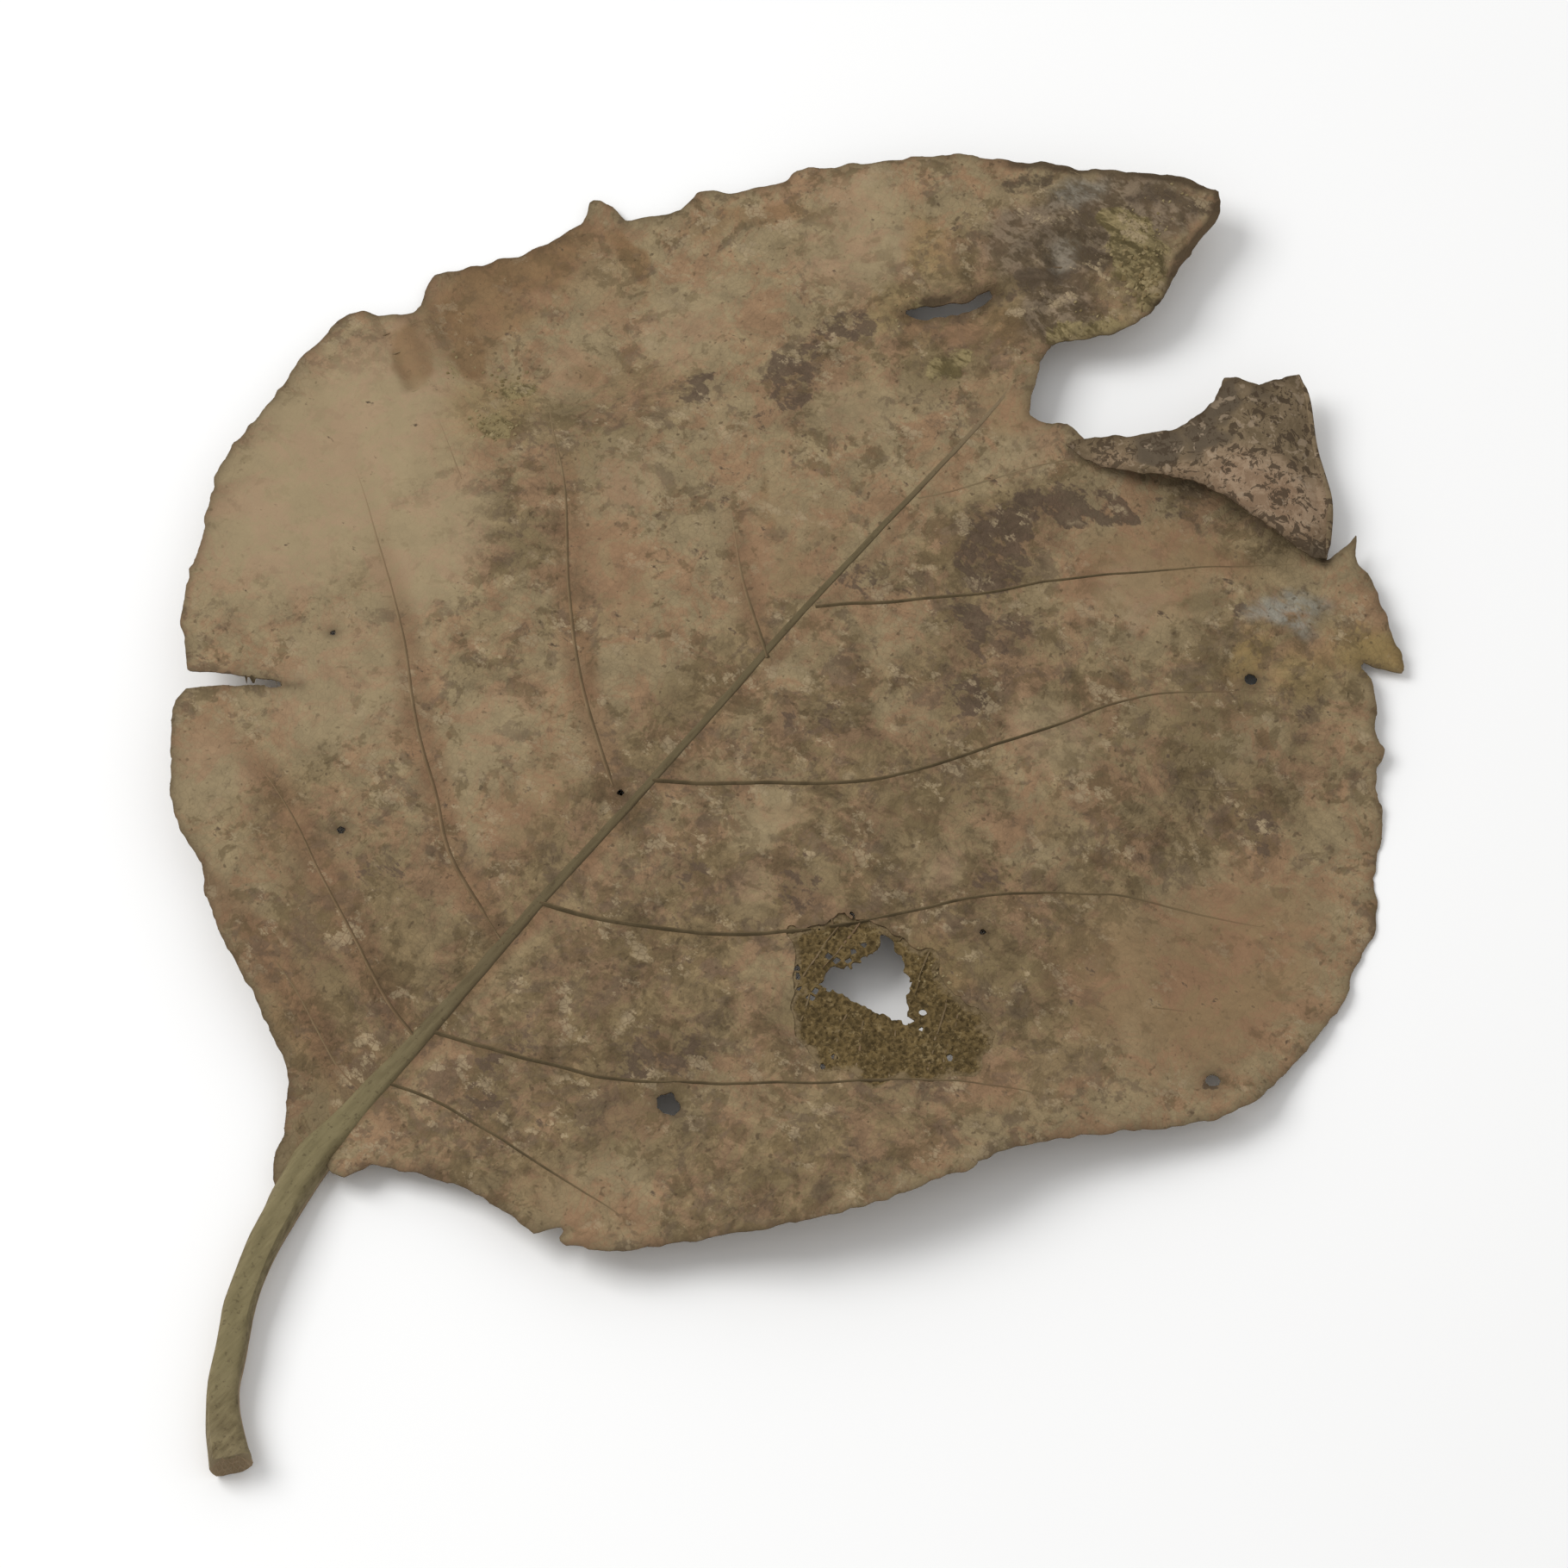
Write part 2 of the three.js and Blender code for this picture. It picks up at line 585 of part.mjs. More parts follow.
function teakLeafSolid() {
  const blade = bladeSheet().intersect(bladePrism());
  return blade.add(foldedFlap()).add(stalkAndMidrib().intersect(aboveSurface()));
}

function teakLeaf() {
  const material = new THREE.MeshStandardMaterial({ color: 0x8b765a, roughness: 0.9, metalness: 0 });
  material.flatShading = true;
  const mesh = new THREE.Mesh(geometryOf(teakLeafSolid()), material);
  mesh.name = "teak_leaf";
  return mesh;
}

const group = new THREE.Group();
group.add(teakLeaf());

export default group;
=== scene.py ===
# Dried teak leaf lying on a flat surface with its upper face up.
# The shapes are worked out in millimetres in the part's own frame and scaled to metres when a mesh is made:
# the origin is under the place where the stalk meets the blade, +X runs along the midrib to the tip,
# +Y to the left half of the blade, +Z up.

import math

import bpy
import numpy as np
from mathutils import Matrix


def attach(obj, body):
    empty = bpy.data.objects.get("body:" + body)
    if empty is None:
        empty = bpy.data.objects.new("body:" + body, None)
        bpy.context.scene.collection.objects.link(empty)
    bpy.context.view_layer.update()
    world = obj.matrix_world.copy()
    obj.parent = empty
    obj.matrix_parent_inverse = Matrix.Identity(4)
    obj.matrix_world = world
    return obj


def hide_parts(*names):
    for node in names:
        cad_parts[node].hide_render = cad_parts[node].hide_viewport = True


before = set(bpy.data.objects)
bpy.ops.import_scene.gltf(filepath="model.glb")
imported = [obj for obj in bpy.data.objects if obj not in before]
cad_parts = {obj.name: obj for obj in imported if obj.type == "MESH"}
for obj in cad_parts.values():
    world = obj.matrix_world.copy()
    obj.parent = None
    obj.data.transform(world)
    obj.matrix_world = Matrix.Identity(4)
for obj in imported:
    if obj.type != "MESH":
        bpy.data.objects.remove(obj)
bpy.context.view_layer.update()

METRES = 0.001
BODY = "root"
NODE = "teak_leaf"
TINY = 1e-6

# Driving dimensions
BLADE_START = -10
BLADE_END = 207
BLADE_LENGTH = 205
LEFT_HALF_WIDTH = 88
RIGHT_HALF_WIDTH = 96
RIGHT_REACH = -100
BLADE_CENTRE = (100, -5)
MIDRIB_Y = -1
BLADE_THICKNESS = 0.42
EDGE_THICKNESS = 0.2
EDGE_TAPER = 1.2
MARGIN_STEP = 2.0
FAR_INSIDE = 50.0

# Heights of the middle of the blade above the surface it lies on; a pair is where a change starts and ends
HEIGHT_AT_STALK = 3.6
ARCH_HEIGHT = 2.6
LEFT_BASE_LIFT = 6.0
RIGHT_BASE_LIFT = 8.0
BASE_LIFT_FADE = (15, 100)
TIP_SIDE_DROP = 6.5
DROP_GROWTH = (55, 130)
DROP_FADE = (150, 200)
DROP_FADE_SHARE = 0.5
TIP_LIFT = 2.4
TIP_LIFT_GROWTH = (150, 205)
SIDE_CURVE = 1.6
LONG_WAVE = (1.0, 5, 0.6)
SHORT_WAVE = (0.55, 11, 2.0)
WAVE_REACH = 1.2
CLEAR_HEIGHT = 1.8
REST_HEIGHT = BLADE_THICKNESS / 2
REST_RADIUS = 10.5
REST_FADE = 28
REST_SPOTS = [(121, -80), (131, 62)]

# Relief of the blade
VALLEY_DEPTH = 0.55
VALLEY_WIDTH = 6
BUCKLE_HEIGHT = 0.32
BUCKLE_SIZE = 13
RIPPLE_HEIGHT = 0.09
RIPPLE_SIZE = 3.4
CRUST_RISE = 0.5625
CRUST_LUMPS = 0.375
CRUST_LUMP_SIZE = 2.2
CRUST_EDGE = (0.3, 0.8)
CURL_HEIGHT = 0.7
CURL_WIDTH = 3.0
CURL_SIZE = 7
CURL_BIAS = 0.25
CREASE_STEP = 2
LIP_STEP = 1.5
TEAR_LIFT = 0.7
TEAR_LIFT_WIDTH = 3
TEAR_LIFT_GROWTH = (-1, 8)
EAR_PLACE = (0.6, -7)
EAR_RISE = 1.2
EAR_SPREAD = 7

# Ragged edges and wandering lines: strength, size and salt of each layer of noise
HOLE_RAGGEDNESS = [(0.28, 1.5, 51), (0.16, 0.8, 52)]
MARGIN_RAGGEDNESS = [(0.34, 2.6, 61), (0.22, 1.3, 62)]
PATCH_RAGGEDNESS = [(1.1, 3.1, 71), (0.6, 1.5, 72)]
FLAP_RAGGEDNESS = [(0.3, 1.9, 91), (0.16, 0.9, 92)]
RUNG_WANDER = [(0.9, 6, 121), (0.35, 2.5, 122)]
ROTTED_RIM_FACTOR = 2
PINHOLE_RIM_FACTOR = 0.6
MARGIN_INSET = 0.1

# Spacing and cuts of the meshes
CURVE_PARTS = 12
VEIN_LINE_STEP = 4
BLADE_SPACING = 0.6
FLAP_SPACING = 0.36
PATCH_SPACING = 0.19
CUT_SHARES = (0.12, 0.88)
SHARP_ANGLE = 50

# Veins; a size is that of a vein without strength, its growth with strength, and the share lost at the end
SIDE_VEIN_WIDTH = (0.9, 1.2, 0.6)
SIDE_VEIN_TOP = (0.1, 0.1, 0.8)
SIDE_VEIN_UNDER = (0, 1, 0.85)
LEAST_UNDER = 0.05
SIDE_VEIN_STEP = 0.9
SIDE_VEIN_WANDER = [(0.12, 5, 101)]
FAINT_RIB = 0.5
FAINTNESS_OF_FAINT_RIB = 0.6
FAINTNESS_OF_LEFT = 0.15
FAINTNESS_OF_END = 0.9
FAINT_ALONG = (0.45, 0.95)
FAINT_BEYOND = (95, 130)
FAINTEST = 0.92
FAINT_SINK = 0.08
RUNG_SPACING = 4.6
RUNG_JITTER = 0.5
RUNG_SLANT = 0.5
RUNG_BOW = 0.06
RUNG_WIDTH = 0.68
RUNG_MIDDLE = 0.55
RUNG_START = 0.02
RUNG_TOP = 0.035
RUNG_UNDER = 0.34
RUNG_PATCH_SINK = 0.32
RUNG_SINK_GROWTH = (-0.5, 0.8)
RUNG_STEP = 1.5
VEIN_CLEARANCE = 0.5
VEIN_TAPER = 3
LEAST_TAPER = 0.15
VEIN_OVERLAP = 0.01
SHORTEST_VEIN = 4
HALF_BLEND = (-4, 6)

# Skeleton patch
CELL_SIZE = 1.15
CELL_SPREAD = (0.15, 0.7)
CELL_SINK = 0.16
STRAND = 0.15
STRAND_EDGE = (0.105, 0.33)
STRAND_THICKNESS = 0.3
SKIN_THICKNESS = 0.16
PATCH_SINK = 0.08
PATCH_SINK_GROWTH = (0.4, 1.6)
PATCH_INNER_GROWTH = (-0.3, 3.5)
PATCH_OVERLAP = 0.5
PATCH_HOLE_OVERLAP = 0.35
OPEN_AT_HOLE = 0.35
OPEN_REACH = 1.6
OPEN_NOISE = [(0.1, 5, 84)]
CLOSED_BIAS = 0.02

# Folded flap
FLAP_RISE = 4.6
FLAP_BEND = 7
FLAP_ROOT_GAP = 0.5
FLAP_STUCK_SHARE = 0.25
FLAP_STUCK_Y = -14
FLAP_LOOSE_Y = -32
FLAP_RIPPLE = 0.25
FLAP_RIPPLE_SIZE = 7
FLAP_RIPPLE_GROWTH = 4
FOLD_START = (187, -31)
FOLD_END = (165, -52.6)
FOLD_HALF_WIDTH = 0.5
FOLD_STEP = 0.8
FOLD_SIDES = 10
FOLD_TAPER = 3
FOLD_CALM = 2
FLAP_RIM_WIDTH = 0.9

# Stalk: its squarish section, the channel along its top, its ridges, pits and the bowl of its cut end
SQUARENESS = 0.07
CHANNEL_DEPTH = 0.15
CHANNEL_WIDTH = 0.4
CHANNEL_ON_BLADE = 0.3
RIDGE_HEIGHT = 0.04
RIDGE_COUNT = 7
RIDGE_TWIST = 0.1
PIT_DEPTH = 0.05
PIT_SIZE = 2.4
PIT_REACH = 3.0
CUT_RINGS = [(0.3, 1.3), (0.72, 0.5), (0.97, 0)]
CUT_FIBRES = 0.3
CUT_COLOUR = (0.5, 1, 1)
STALK_FADE = (-8, 20)
GREEN_GROWTH = (-44, -30)
GREEN_FADE = (5, 40)
MIDRIB_GROWTH = (-2, 40)
FAR_GROWTH = (125, 156)
WIDEST_BELOW = 0.1
FLOOR_GAP = 0.02

# The margin seen from above, in stretches that meet at corners
LEFT_MARGIN = [
    (-9, -1.8), (-6.5, 0.6), (-4, 2.5), (-1, 3.8), (5, 7.8), (7, 10), (10.5, 16.5), (15, 27),
    (19, 34.5), (24, 41), (27, 48), (33, 54), (40, 59.2), (43.5, 60.3),
]
TEAR_LEFT_SIDE = [(43.5, 60.3), (47.4, 56.0), (50.5, 52.0), (54, 47.8)]
TEAR_RIGHT_SIDE = [(54, 47.8), (51.0, 52.5), (48.1, 56.8), (45.2, 61.3)]
UPPER_MARGIN = [
    (45.2, 61.3), (50, 66.5), (55.5, 71), (65, 76), (75, 81.5), (85, 83.5), (100, 86), (110, 86), (112, 83.5),
]
PLEATED_MARGIN = [
    (112, 83.5), (114, 80.5), (117, 79), (120, 80.5), (122, 81.5), (127, 79), (137, 73), (145, 70.7),
    (148, 72),
]
BROKEN_TAB = [(148, 72), (149.5, 70.5), (149, 65.5)]
BROKEN_MARGIN = [(149, 65.5), (155, 60.3), (159, 60), (163, 55), (168.5, 50.3)]
TIP_LEFT_MARGIN = [
    (168.5, 50.3), (170.8, 50.3), (175, 45.5), (180, 39.5), (187.5, 31), (191, 24.5), (195, 17),
    (197.5, 12.5), (200.5, 8), (203.5, 3.5), (205, -3),
]
TIP_LOBE = [
    (205, -3), (202, -5.3), (197.5, -6.2), (190, -6.8), (186, -7.9), (182.5, -8.3), (179, -7.8),
    (175, -6), (172, -3.5), (169, 0),
]
TIP_NOTCH = [
    (169, 0), (166, -0.2), (160, -2.3), (156.5, -5), (157.2, -8), (158.6, -10), (158.5, -14),
]
FLAP_UPPER_EDGE = [
    (158.5, -14), (162.5, -18.5), (165, -20.5), (167.5, -23), (170, -24), (174, -24.5), (178.5, -23.5),
]
FLAP_CORNER = [(178.5, -23.5), (180.3, -25.5), (180.8, -28.3), (184, -29.6), (187, -31)]
FOLD_LINE = [(187, -31), (185, -34), (179, -40), (172.5, -47.5), (165, -52.6)]
RIGHT_TOOTH = [(165, -52.6), (170.6, -53.8)]
RIGHT_MARGIN = [
    (170.6, -53.8), (167.5, -57), (167, -59), (163.3, -64.5), (161.5, -67.3), (159.5, -71), (157.3, -72.5),
]
CRACKED_TAB = [(157.3, -72.5), (155.6, -69), (154.3, -66), (153.6, -69.2)]
LOWER_RIGHT_MARGIN = [
    (153.6, -69.2), (150, -73), (147.5, -74.5), (145, -77.5), (140.5, -80), (136, -84.5), (129.5, -88),
    (120.5, -94.3), (115, -95.3), (109, -97.3), (100, -98), (90, -98.1), (83.5, -97), (77.5, -93),
    (70.5, -86.8), (63, -80.5), (56, -76.5), (50, -74.3), (40, -68.8), (32.5, -63.3), (26, -57.5),
    (18.5, -49.5), (13.3, -44.5), (9.8, -38.3),
]
BASE_TEAR = [(9.8, -38.3), (10, -36.2), (13, -36.8), (8.9, -33.6)]
BASE_MARGIN = [(8.9, -33.6), (8.5, -28), (8, -21), (6.5, -15.5), (3.3, -9)]
BASAL_EAR = [(3.3, -9), (0.5, -7.8), (-0.8, -6.3), (0.2, -3)]
STALK_JUNCTION = [(0.2, -3), (-5, -3), (-9, -1.8)]
MARGIN_STRETCHES = [
    LEFT_MARGIN, TEAR_LEFT_SIDE, TEAR_RIGHT_SIDE, UPPER_MARGIN, PLEATED_MARGIN, BROKEN_TAB, BROKEN_MARGIN,
    TIP_LEFT_MARGIN, TIP_LOBE, TIP_NOTCH, FLAP_UPPER_EDGE, FLAP_CORNER, FOLD_LINE, RIGHT_TOOTH, RIGHT_MARGIN,
    CRACKED_TAB, LOWER_RIGHT_MARGIN, BASE_TEAR, BASE_MARGIN, BASAL_EAR, STALK_JUNCTION,
]

# Holes and slits, seen from above
ROTTED_HOLE = [
    (62.3, -40), (66.5, -39.6), (68, -41.8), (71, -42.4), (74.7, -41.8), (74.9, -44), (73.2, -47),
    (71, -50), (68, -52.5), (65.2, -54), (63.6, -50), (63, -45),
]
SMALL_HOLE = [(33.6, -34.4), (35.4, -33.6), (37, -34.8), (36.4, -37), (34.3, -37.4)]
TIP_SLIT = [
    (158.6, 21.8), (161.4, 19.6), (164, 17), (166.5, 15), (168.5, 14.2), (170.4, 13.6), (170.2, 12.6),
    (167.6, 12.8), (164.4, 14.4), (161, 17.4),
]
PINHOLES = [
    (40, 28, 0.6), (142, -56.2, 0.9), (64, 50, 0.5), (86, -91.5, 1.0), (68.2, -54.3, 0.8), (84, -52.5, 0.6),
    (69.5, 1.2, 0.4), (43, 1.6, 0.4), (74.8, -36.8, 0.4), (69.8, -34.6, 0.5),
]
PATCH_OUTLINE = [
    (53.5, -43), (52.8, -50), (55, -57), (60, -62.5), (66, -66), (71.5, -64), (73.5, -57), (76, -50),
    (77, -42), (73, -35.5), (67, -32), (62.5, -36), (58, -40),
]

# The flap seen from above
FLAP_OUTLINE = [
    (155.2, -12.4), (158.4, -14.4), (162.2, -18.8), (164.7, -20.9), (167.2, -23.4), (170, -24.4),
    (174, -24.9), (178.3, -23.9), (179.9, -25.7), (180.4, -28.6), (183.8, -30), (187.2, -31.1),
    (185.2, -34.2), (179.2, -40.2), (172.7, -47.7), (165, -52.8), (163.5, -51.7), (162.3, -47),
    (161.8, -40), (161.5, -34), (160, -30), (158.5, -26), (156, -21), (154.8, -16),
]

# Stalk and midrib: places along them with their radius; the midrib's radius is half its width
STALK_LINE = [
    (-42.6, -23.0, 3.0, 3.15), (-41.2, -21.2, 2.95, 2.9), (-38.6, -18.2, 2.9, 2.5), (-35, -15, 3.0, 2.3),
    (-30, -12, 3.3, 2.2), (-25, -9, 3.5, 2.2), (-20, -6.8, 3.6, 2.2), (-15, -5, 3.5, 2.25),
    (-10, -3.5, 3.0, 2.4), (-5, -2.1, 2.4, 2.6), (0, -1.1, 2.1, 2.7),
]
MIDRIB_LINE = [
    (6, -1.1, 2.45, 0.75), (13, -1.1, 2.1, 0.6), (22, -1.2, 1.75, 0.45), (35, -1.0, 1.4, 0.32),
    (50, -0.8, 1.1, 0.25), (70, -0.9, 0.9, 0.2), (90, -0.5, 0.8, 0.18), (110, 0, 0.7, 0.16),
    (130, 0, 0.6, 0.15), (150, 0, 0.5, 0.1), (160, 0.4, 0.42, 0.02), (166, 0.8, 0.36, -0.03),
]
TUBE_STEP = 1.3
TUBE_SIDES = 22

# Side veins from the midrib to past the margin: how far each stands out below the blade, and its path
LEFT_VEINS = [
    (0.5, [(11, -1), (12, 5), (14, 10), (17, 17), (20, 28), (22, 43)]),
    (0.7, [(22, -1), (24, 6), (28, 15), (33, 26), (38, 36), (41, 46), (41.5, 56), (42, 66)]),
    (1.1, [(41, -1), (47, 14), (53, 21.5), (60, 31), (70, 42), (81, 56.5), (90, 70), (99, 93)]),
    (1.0, [(67, -1), (80, 17), (91, 28.5), (105, 41), (112, 49), (124, 62), (138, 83)]),
    (0.9, [(100, -1), (108, 10), (115, 17.5), (126, 29), (140, 42), (149, 51), (163, 68)]),
    (0.6, [(128, -1), (136, 9), (146, 19), (155, 28), (166, 38), (182, 52)]),
    (0.4, [(150, -1), (158, 7), (172, 15), (184, 22), (201, 31)]),
]
RIGHT_VEINS = [
    (0.6, [(14, -1), (16.5, -9), (17, -15), (17.5, -28), (18, -42), (18, -56)]),
    (1.0, [(24, -1), (28, -12), (34, -27), (40, -36), (50, -49.5), (67, -72), (78, -103)]),
    (1.2, [(49, -1), (53, -11), (63, -27), (76, -39.5), (88, -48), (101, -62), (124, -104)]),
    (1.1, [(74, -1), (80, -9), (95, -26), (115, -38), (130, -46.5), (140, -57), (160, -80)]),
    (0.8, [(111, -1), (120, -10), (128, -18), (137, -25), (150, -37), (160, -48), (174, -64)]),
    (0.5, [(135, -1), (142, -6), (152, -12), (165, -25), (187, -49)]),
]
# Lines without a vein that bound the ladder of fine veins at the base and at the tip
LEFT_BASE_BOUND = [(-14, -1), (-15, 2), (-16, 4)]
LEFT_TIP_BOUNDS = [[(175, -1), (183, 5), (192, 11), (208, 22)], [(213, -1), (215, 1), (217, 3)]]
RIGHT_BASE_BOUND = [(-14, -1), (-15, -4), (-15, -8)]
RIGHT_TIP_BOUNDS = [[(160, -1), (168, -7), (178, -17), (197, -36)], [(190, -1), (195, -6), (207, -17)]]
BRANCH_VEINS = [
    (0.3, [(121, -58), (126, -64), (131, -68.5), (135, -70)]),
    (0.25, [(84, -68), (85.2, -73), (87, -79)]),
    (0.25, [(90, -78), (95, -85)]),
    (0.3, [(96, 53), (103, 64), (108, 75)]),
    (0.3, [(120, 36), (130, 50), (139, 62)]),
]

# Creases of the blade: path, depth and half width
CREASES = [
    ([(112, 83), (109, 77), (105, 70)], 0.7, 1.2),
    ([(120, 80), (116, 72), (113, 64)], 0.6, 1.0),
    ([(148, 64), (146, 57), (142, 47)], 0.5, 1.3),
    ([(145, -66.3), (147.5, -67.6), (150, -68.5)], 0.35, 0.4),
    ([(10.5, -36.5), (12.5, -37.8), (15, -38.5)], 0.4, 0.6),
    ([(168, -1), (172, 4), (178, 6), (181, 9)], 0.6, 1.4),
    ([(184, -6), (185.5, 0), (186, 6)], 0.5, 0.8),
]
TEAR_LINE = [(54, 47.8), (50.8, 52.3), (47.9, 56.4), (44.8, 61.6)]
# The lips of the slit near the tip, the lower one bent down and the upper one up
SLIT_LIPS = [
    ([(159.5, 18.6), (162.6, 14.6), (166.5, 12), (170, 11.6)], 1.1, 2.2),
    ([(158.6, 22.6), (162.4, 19.8), (166.4, 16.2), (170.6, 14.4)], -0.5, 2.0),
]


def clamp(value, low, high):
    return np.minimum(np.maximum(value, low), high)


def smooth_step(low, high, value):
    t = clamp((value - low) / (high - low), 0, 1)
    return t * t * (3 - 2 * t)


def mix(a, b, t):
    return a + (b - a) * t


def lattice_random(i, j, salt):
    """Repeatable number from 0 to 1 for each whole-number place."""
    spread = np.sin(i * 127.1 + j * 311.7 + salt * 74.7) * 43758.5453
    return spread - np.floor(spread)


def soft_noise(x, y, size, salt):
    """Smooth noise from -1 to 1 whose bumps are about size wide; each salt gives another noise."""
    u = x / size + salt * 17.3
    v = y / size - salt * 9.1
    i = np.floor(u)
    j = np.floor(v)
    s = smooth_step(0, 1, u - i)
    t = smooth_step(0, 1, v - j)
    low = mix(lattice_random(i, j, salt), lattice_random(i + 1, j, salt), s)
    high = mix(lattice_random(i, j + 1, salt), lattice_random(i + 1, j + 1, salt), s)
    return 2 * mix(low, high, t) - 1


def layered_noise(x, y, size, salt):
    """Noise of three sizes, each half as large and half as strong as the one before."""
    total = soft_noise(x, y, size, salt)
    total = total + soft_noise(x, y, size / 2, salt + 1) / 2
    return (total + soft_noise(x, y, size / 4, salt + 2) / 4) / (1 + 1 / 2 + 1 / 4)


def raggedness(x, y, layers):
    """Sum of layers of soft noise, each with its strength, size and salt."""
    return sum(strength * soft_noise(x, y, size, salt) for strength, size, salt in layers)


def smooth_line(points, step):
    """Centripetal Catmull-Rom curve through the points, with a place about every step."""
    given = np.asarray(points, float)
    if len(given) < 3:
        return resampled(given, step)
    ends = np.vstack([2 * given[0] - given[1], given, 2 * given[-1] - given[-2]])
    share = np.linspace(0, 1, CURVE_PARTS, endpoint=False)[:, None]
    pieces = []
    for before, start, end, after in zip(ends, ends[1:], ends[2:], ends[3:]):
        gap_in = math.sqrt(np.linalg.norm(start - before))
        gap = math.sqrt(np.linalg.norm(end - start))
        gap_out = math.sqrt(np.linalg.norm(after - end))
        slope_in = (start - before) / gap_in - (end - before) / (gap_in + gap) + (end - start) / gap
        slope_out = (end - start) / gap - (after - start) / (gap + gap_out) + (after - end) / gap_out
        turn_in = slope_in * gap
        turn_out = slope_out * gap
        cubic = 2 * start - 2 * end + turn_in + turn_out
        square = 3 * end - 3 * start - 2 * turn_in - turn_out
        pieces.append(start + share * turn_in + share ** 2 * square + share ** 3 * cubic)
    pieces.append(given[-1:])
    return resampled(np.vstack(pieces), step)


def resampled(line, step):
    """The same line with places an even step apart."""
    lengths = np.linalg.norm(np.diff(line, axis=0), axis=1)
    along = np.concatenate([[0], np.cumsum(lengths)])
    count = max(2, round(along[-1] / step) + 1)
    places = np.linspace(0, along[-1], count)
    return np.stack([np.interp(places, along, line[:, k]) for k in range(line.shape[1])], 1)


def distance_to_line(x, y, line):
    nearest = np.full(np.shape(x), np.inf)
    for (ax, ay), (bx, by) in zip(line[:-1], line[1:]):
        run_x = bx - ax
        run_y = by - ay
        share = clamp(((x - ax) * run_x + (y - ay) * run_y) / (run_x ** 2 + run_y ** 2), 0, 1)
        away = (x - ax - run_x * share) ** 2 + (y - ay - run_y * share) ** 2
        nearest = np.minimum(nearest, away)
    return np.sqrt(nearest)


def inside_outline(x, y, outline):
    inside = np.zeros(np.shape(x), bool)
    for (ax, ay), (bx, by) in zip(outline, np.roll(outline, -1, axis=0)):
        if ay != by:
            crossing = (ay > y) != (by > y)
            inside ^= crossing & (x < (bx - ax) * (y - ay) / (by - ay) + ax)
    return inside


def depth_inside(x, y, outline):
    """Distance to a closed outline, positive inside it and negative outside."""
    closed = np.vstack([outline, outline[:1]])
    distance = distance_to_line(x, y, closed)
    return np.where(inside_outline(x, y, np.asarray(outline)), distance, -distance)


def margin_outline():
    return np.vstack([smooth_line(stretch, MARGIN_STEP)[:-1] for stretch in MARGIN_STRETCHES])


MARGIN = margin_outline()
VEINS = LEFT_VEINS + RIGHT_VEINS
VEIN_LINES = [smooth_line(path, VEIN_LINE_STEP) for _, path in VEINS]
CREASE_LINES = [(smooth_line(path, CREASE_STEP), depth, width) for path, depth, width in CREASES]
CREASE_LINES += [(smooth_line(path, LIP_STEP), depth, width) for path, depth, width in SLIT_LIPS]
TEAR = smooth_line(TEAR_LINE, CREASE_STEP)


def distance_to_veins(x, y):
    nearest = np.abs(y - MIDRIB_Y)
    for line in VEIN_LINES:
        nearest = np.minimum(nearest, distance_to_line(x, y, line))
    return nearest


def margin_wave(x, y):
    """Long waves that grow from the middle of the blade to its margin."""
    dx = x - BLADE_CENTRE[0]
    dy = y - BLADE_CENTRE[1]
    turn = np.arctan2(dy, dx)
    reach = np.minimum(np.hypot(dx / (BLADE_LENGTH / 2), dy / RIGHT_HALF_WIDTH), WAVE_REACH)
    waves = 0
    for height, count, start in (LONG_WAVE, SHORT_WAVE):
        waves = waves + height * np.sin(count * turn + start)
    return waves * reach ** 2


def away_from_rest(x, y):
    """0 on the spots that the leaf rests on, 1 away from them."""
    nearest = np.full(np.shape(x), np.inf)
    for rest_x, rest_y in REST_SPOTS:
        nearest = np.minimum(nearest, np.hypot(x - rest_x, y - rest_y))
    return smooth_step(REST_RADIUS, REST_FADE, nearest)


def tear_lift(x, y):
    """How far the tear's sides are bent, one up and one down."""
    start_x, start_y = TEAR[0]
    run_x, run_y = TEAR[-1] - TEAR[0]
    beside = (x - start_x) * run_y - (y - start_y) * run_x
    along = ((x - start_x) * run_x + (y - start_y) * run_y) / math.hypot(run_x, run_y)
    fade = smooth_step(*TEAR_LIFT_GROWTH, along) * np.exp(-distance_to_line(x, y, TEAR) / TEAR_LIFT_WIDTH)
    return TEAR_LIFT * np.sign(beside) * fade


def fine_relief(x, y):
    """Buckles, ripples and creases of the dry blade, the tear's sides, the ear at the base and the crust."""
    relief = BUCKLE_HEIGHT * layered_noise(x, y, BUCKLE_SIZE, 3)
    relief = relief + RIPPLE_HEIGHT * layered_noise(x, y, RIPPLE_SIZE, 8)
    for line, depth, width in CREASE_LINES:
        relief = relief - depth * np.exp(-(distance_to_line(x, y, line) / width) ** 2)
    ear = np.exp(-((x - EAR_PLACE[0]) ** 2 + (y - EAR_PLACE[1]) ** 2) / EAR_SPREAD)
    crust = CRUST_RISE + CRUST_LUMPS * layered_noise(x, y, CRUST_LUMP_SIZE, 11)
    crust = crust * smooth_step(*CRUST_EDGE, blots(x, y, LOBE_SPOTS))
    return relief + tear_lift(x, y) + EAR_RISE * ear + crust


def margin_curl(x, y, depth):
    """Small curls of the dry margin, up and down."""
    wander = layered_noise(x, y, CURL_SIZE, 21) + CURL_BIAS
    return CURL_HEIGHT * wander * np.exp(-np.maximum(depth, 0) / CURL_WIDTH)


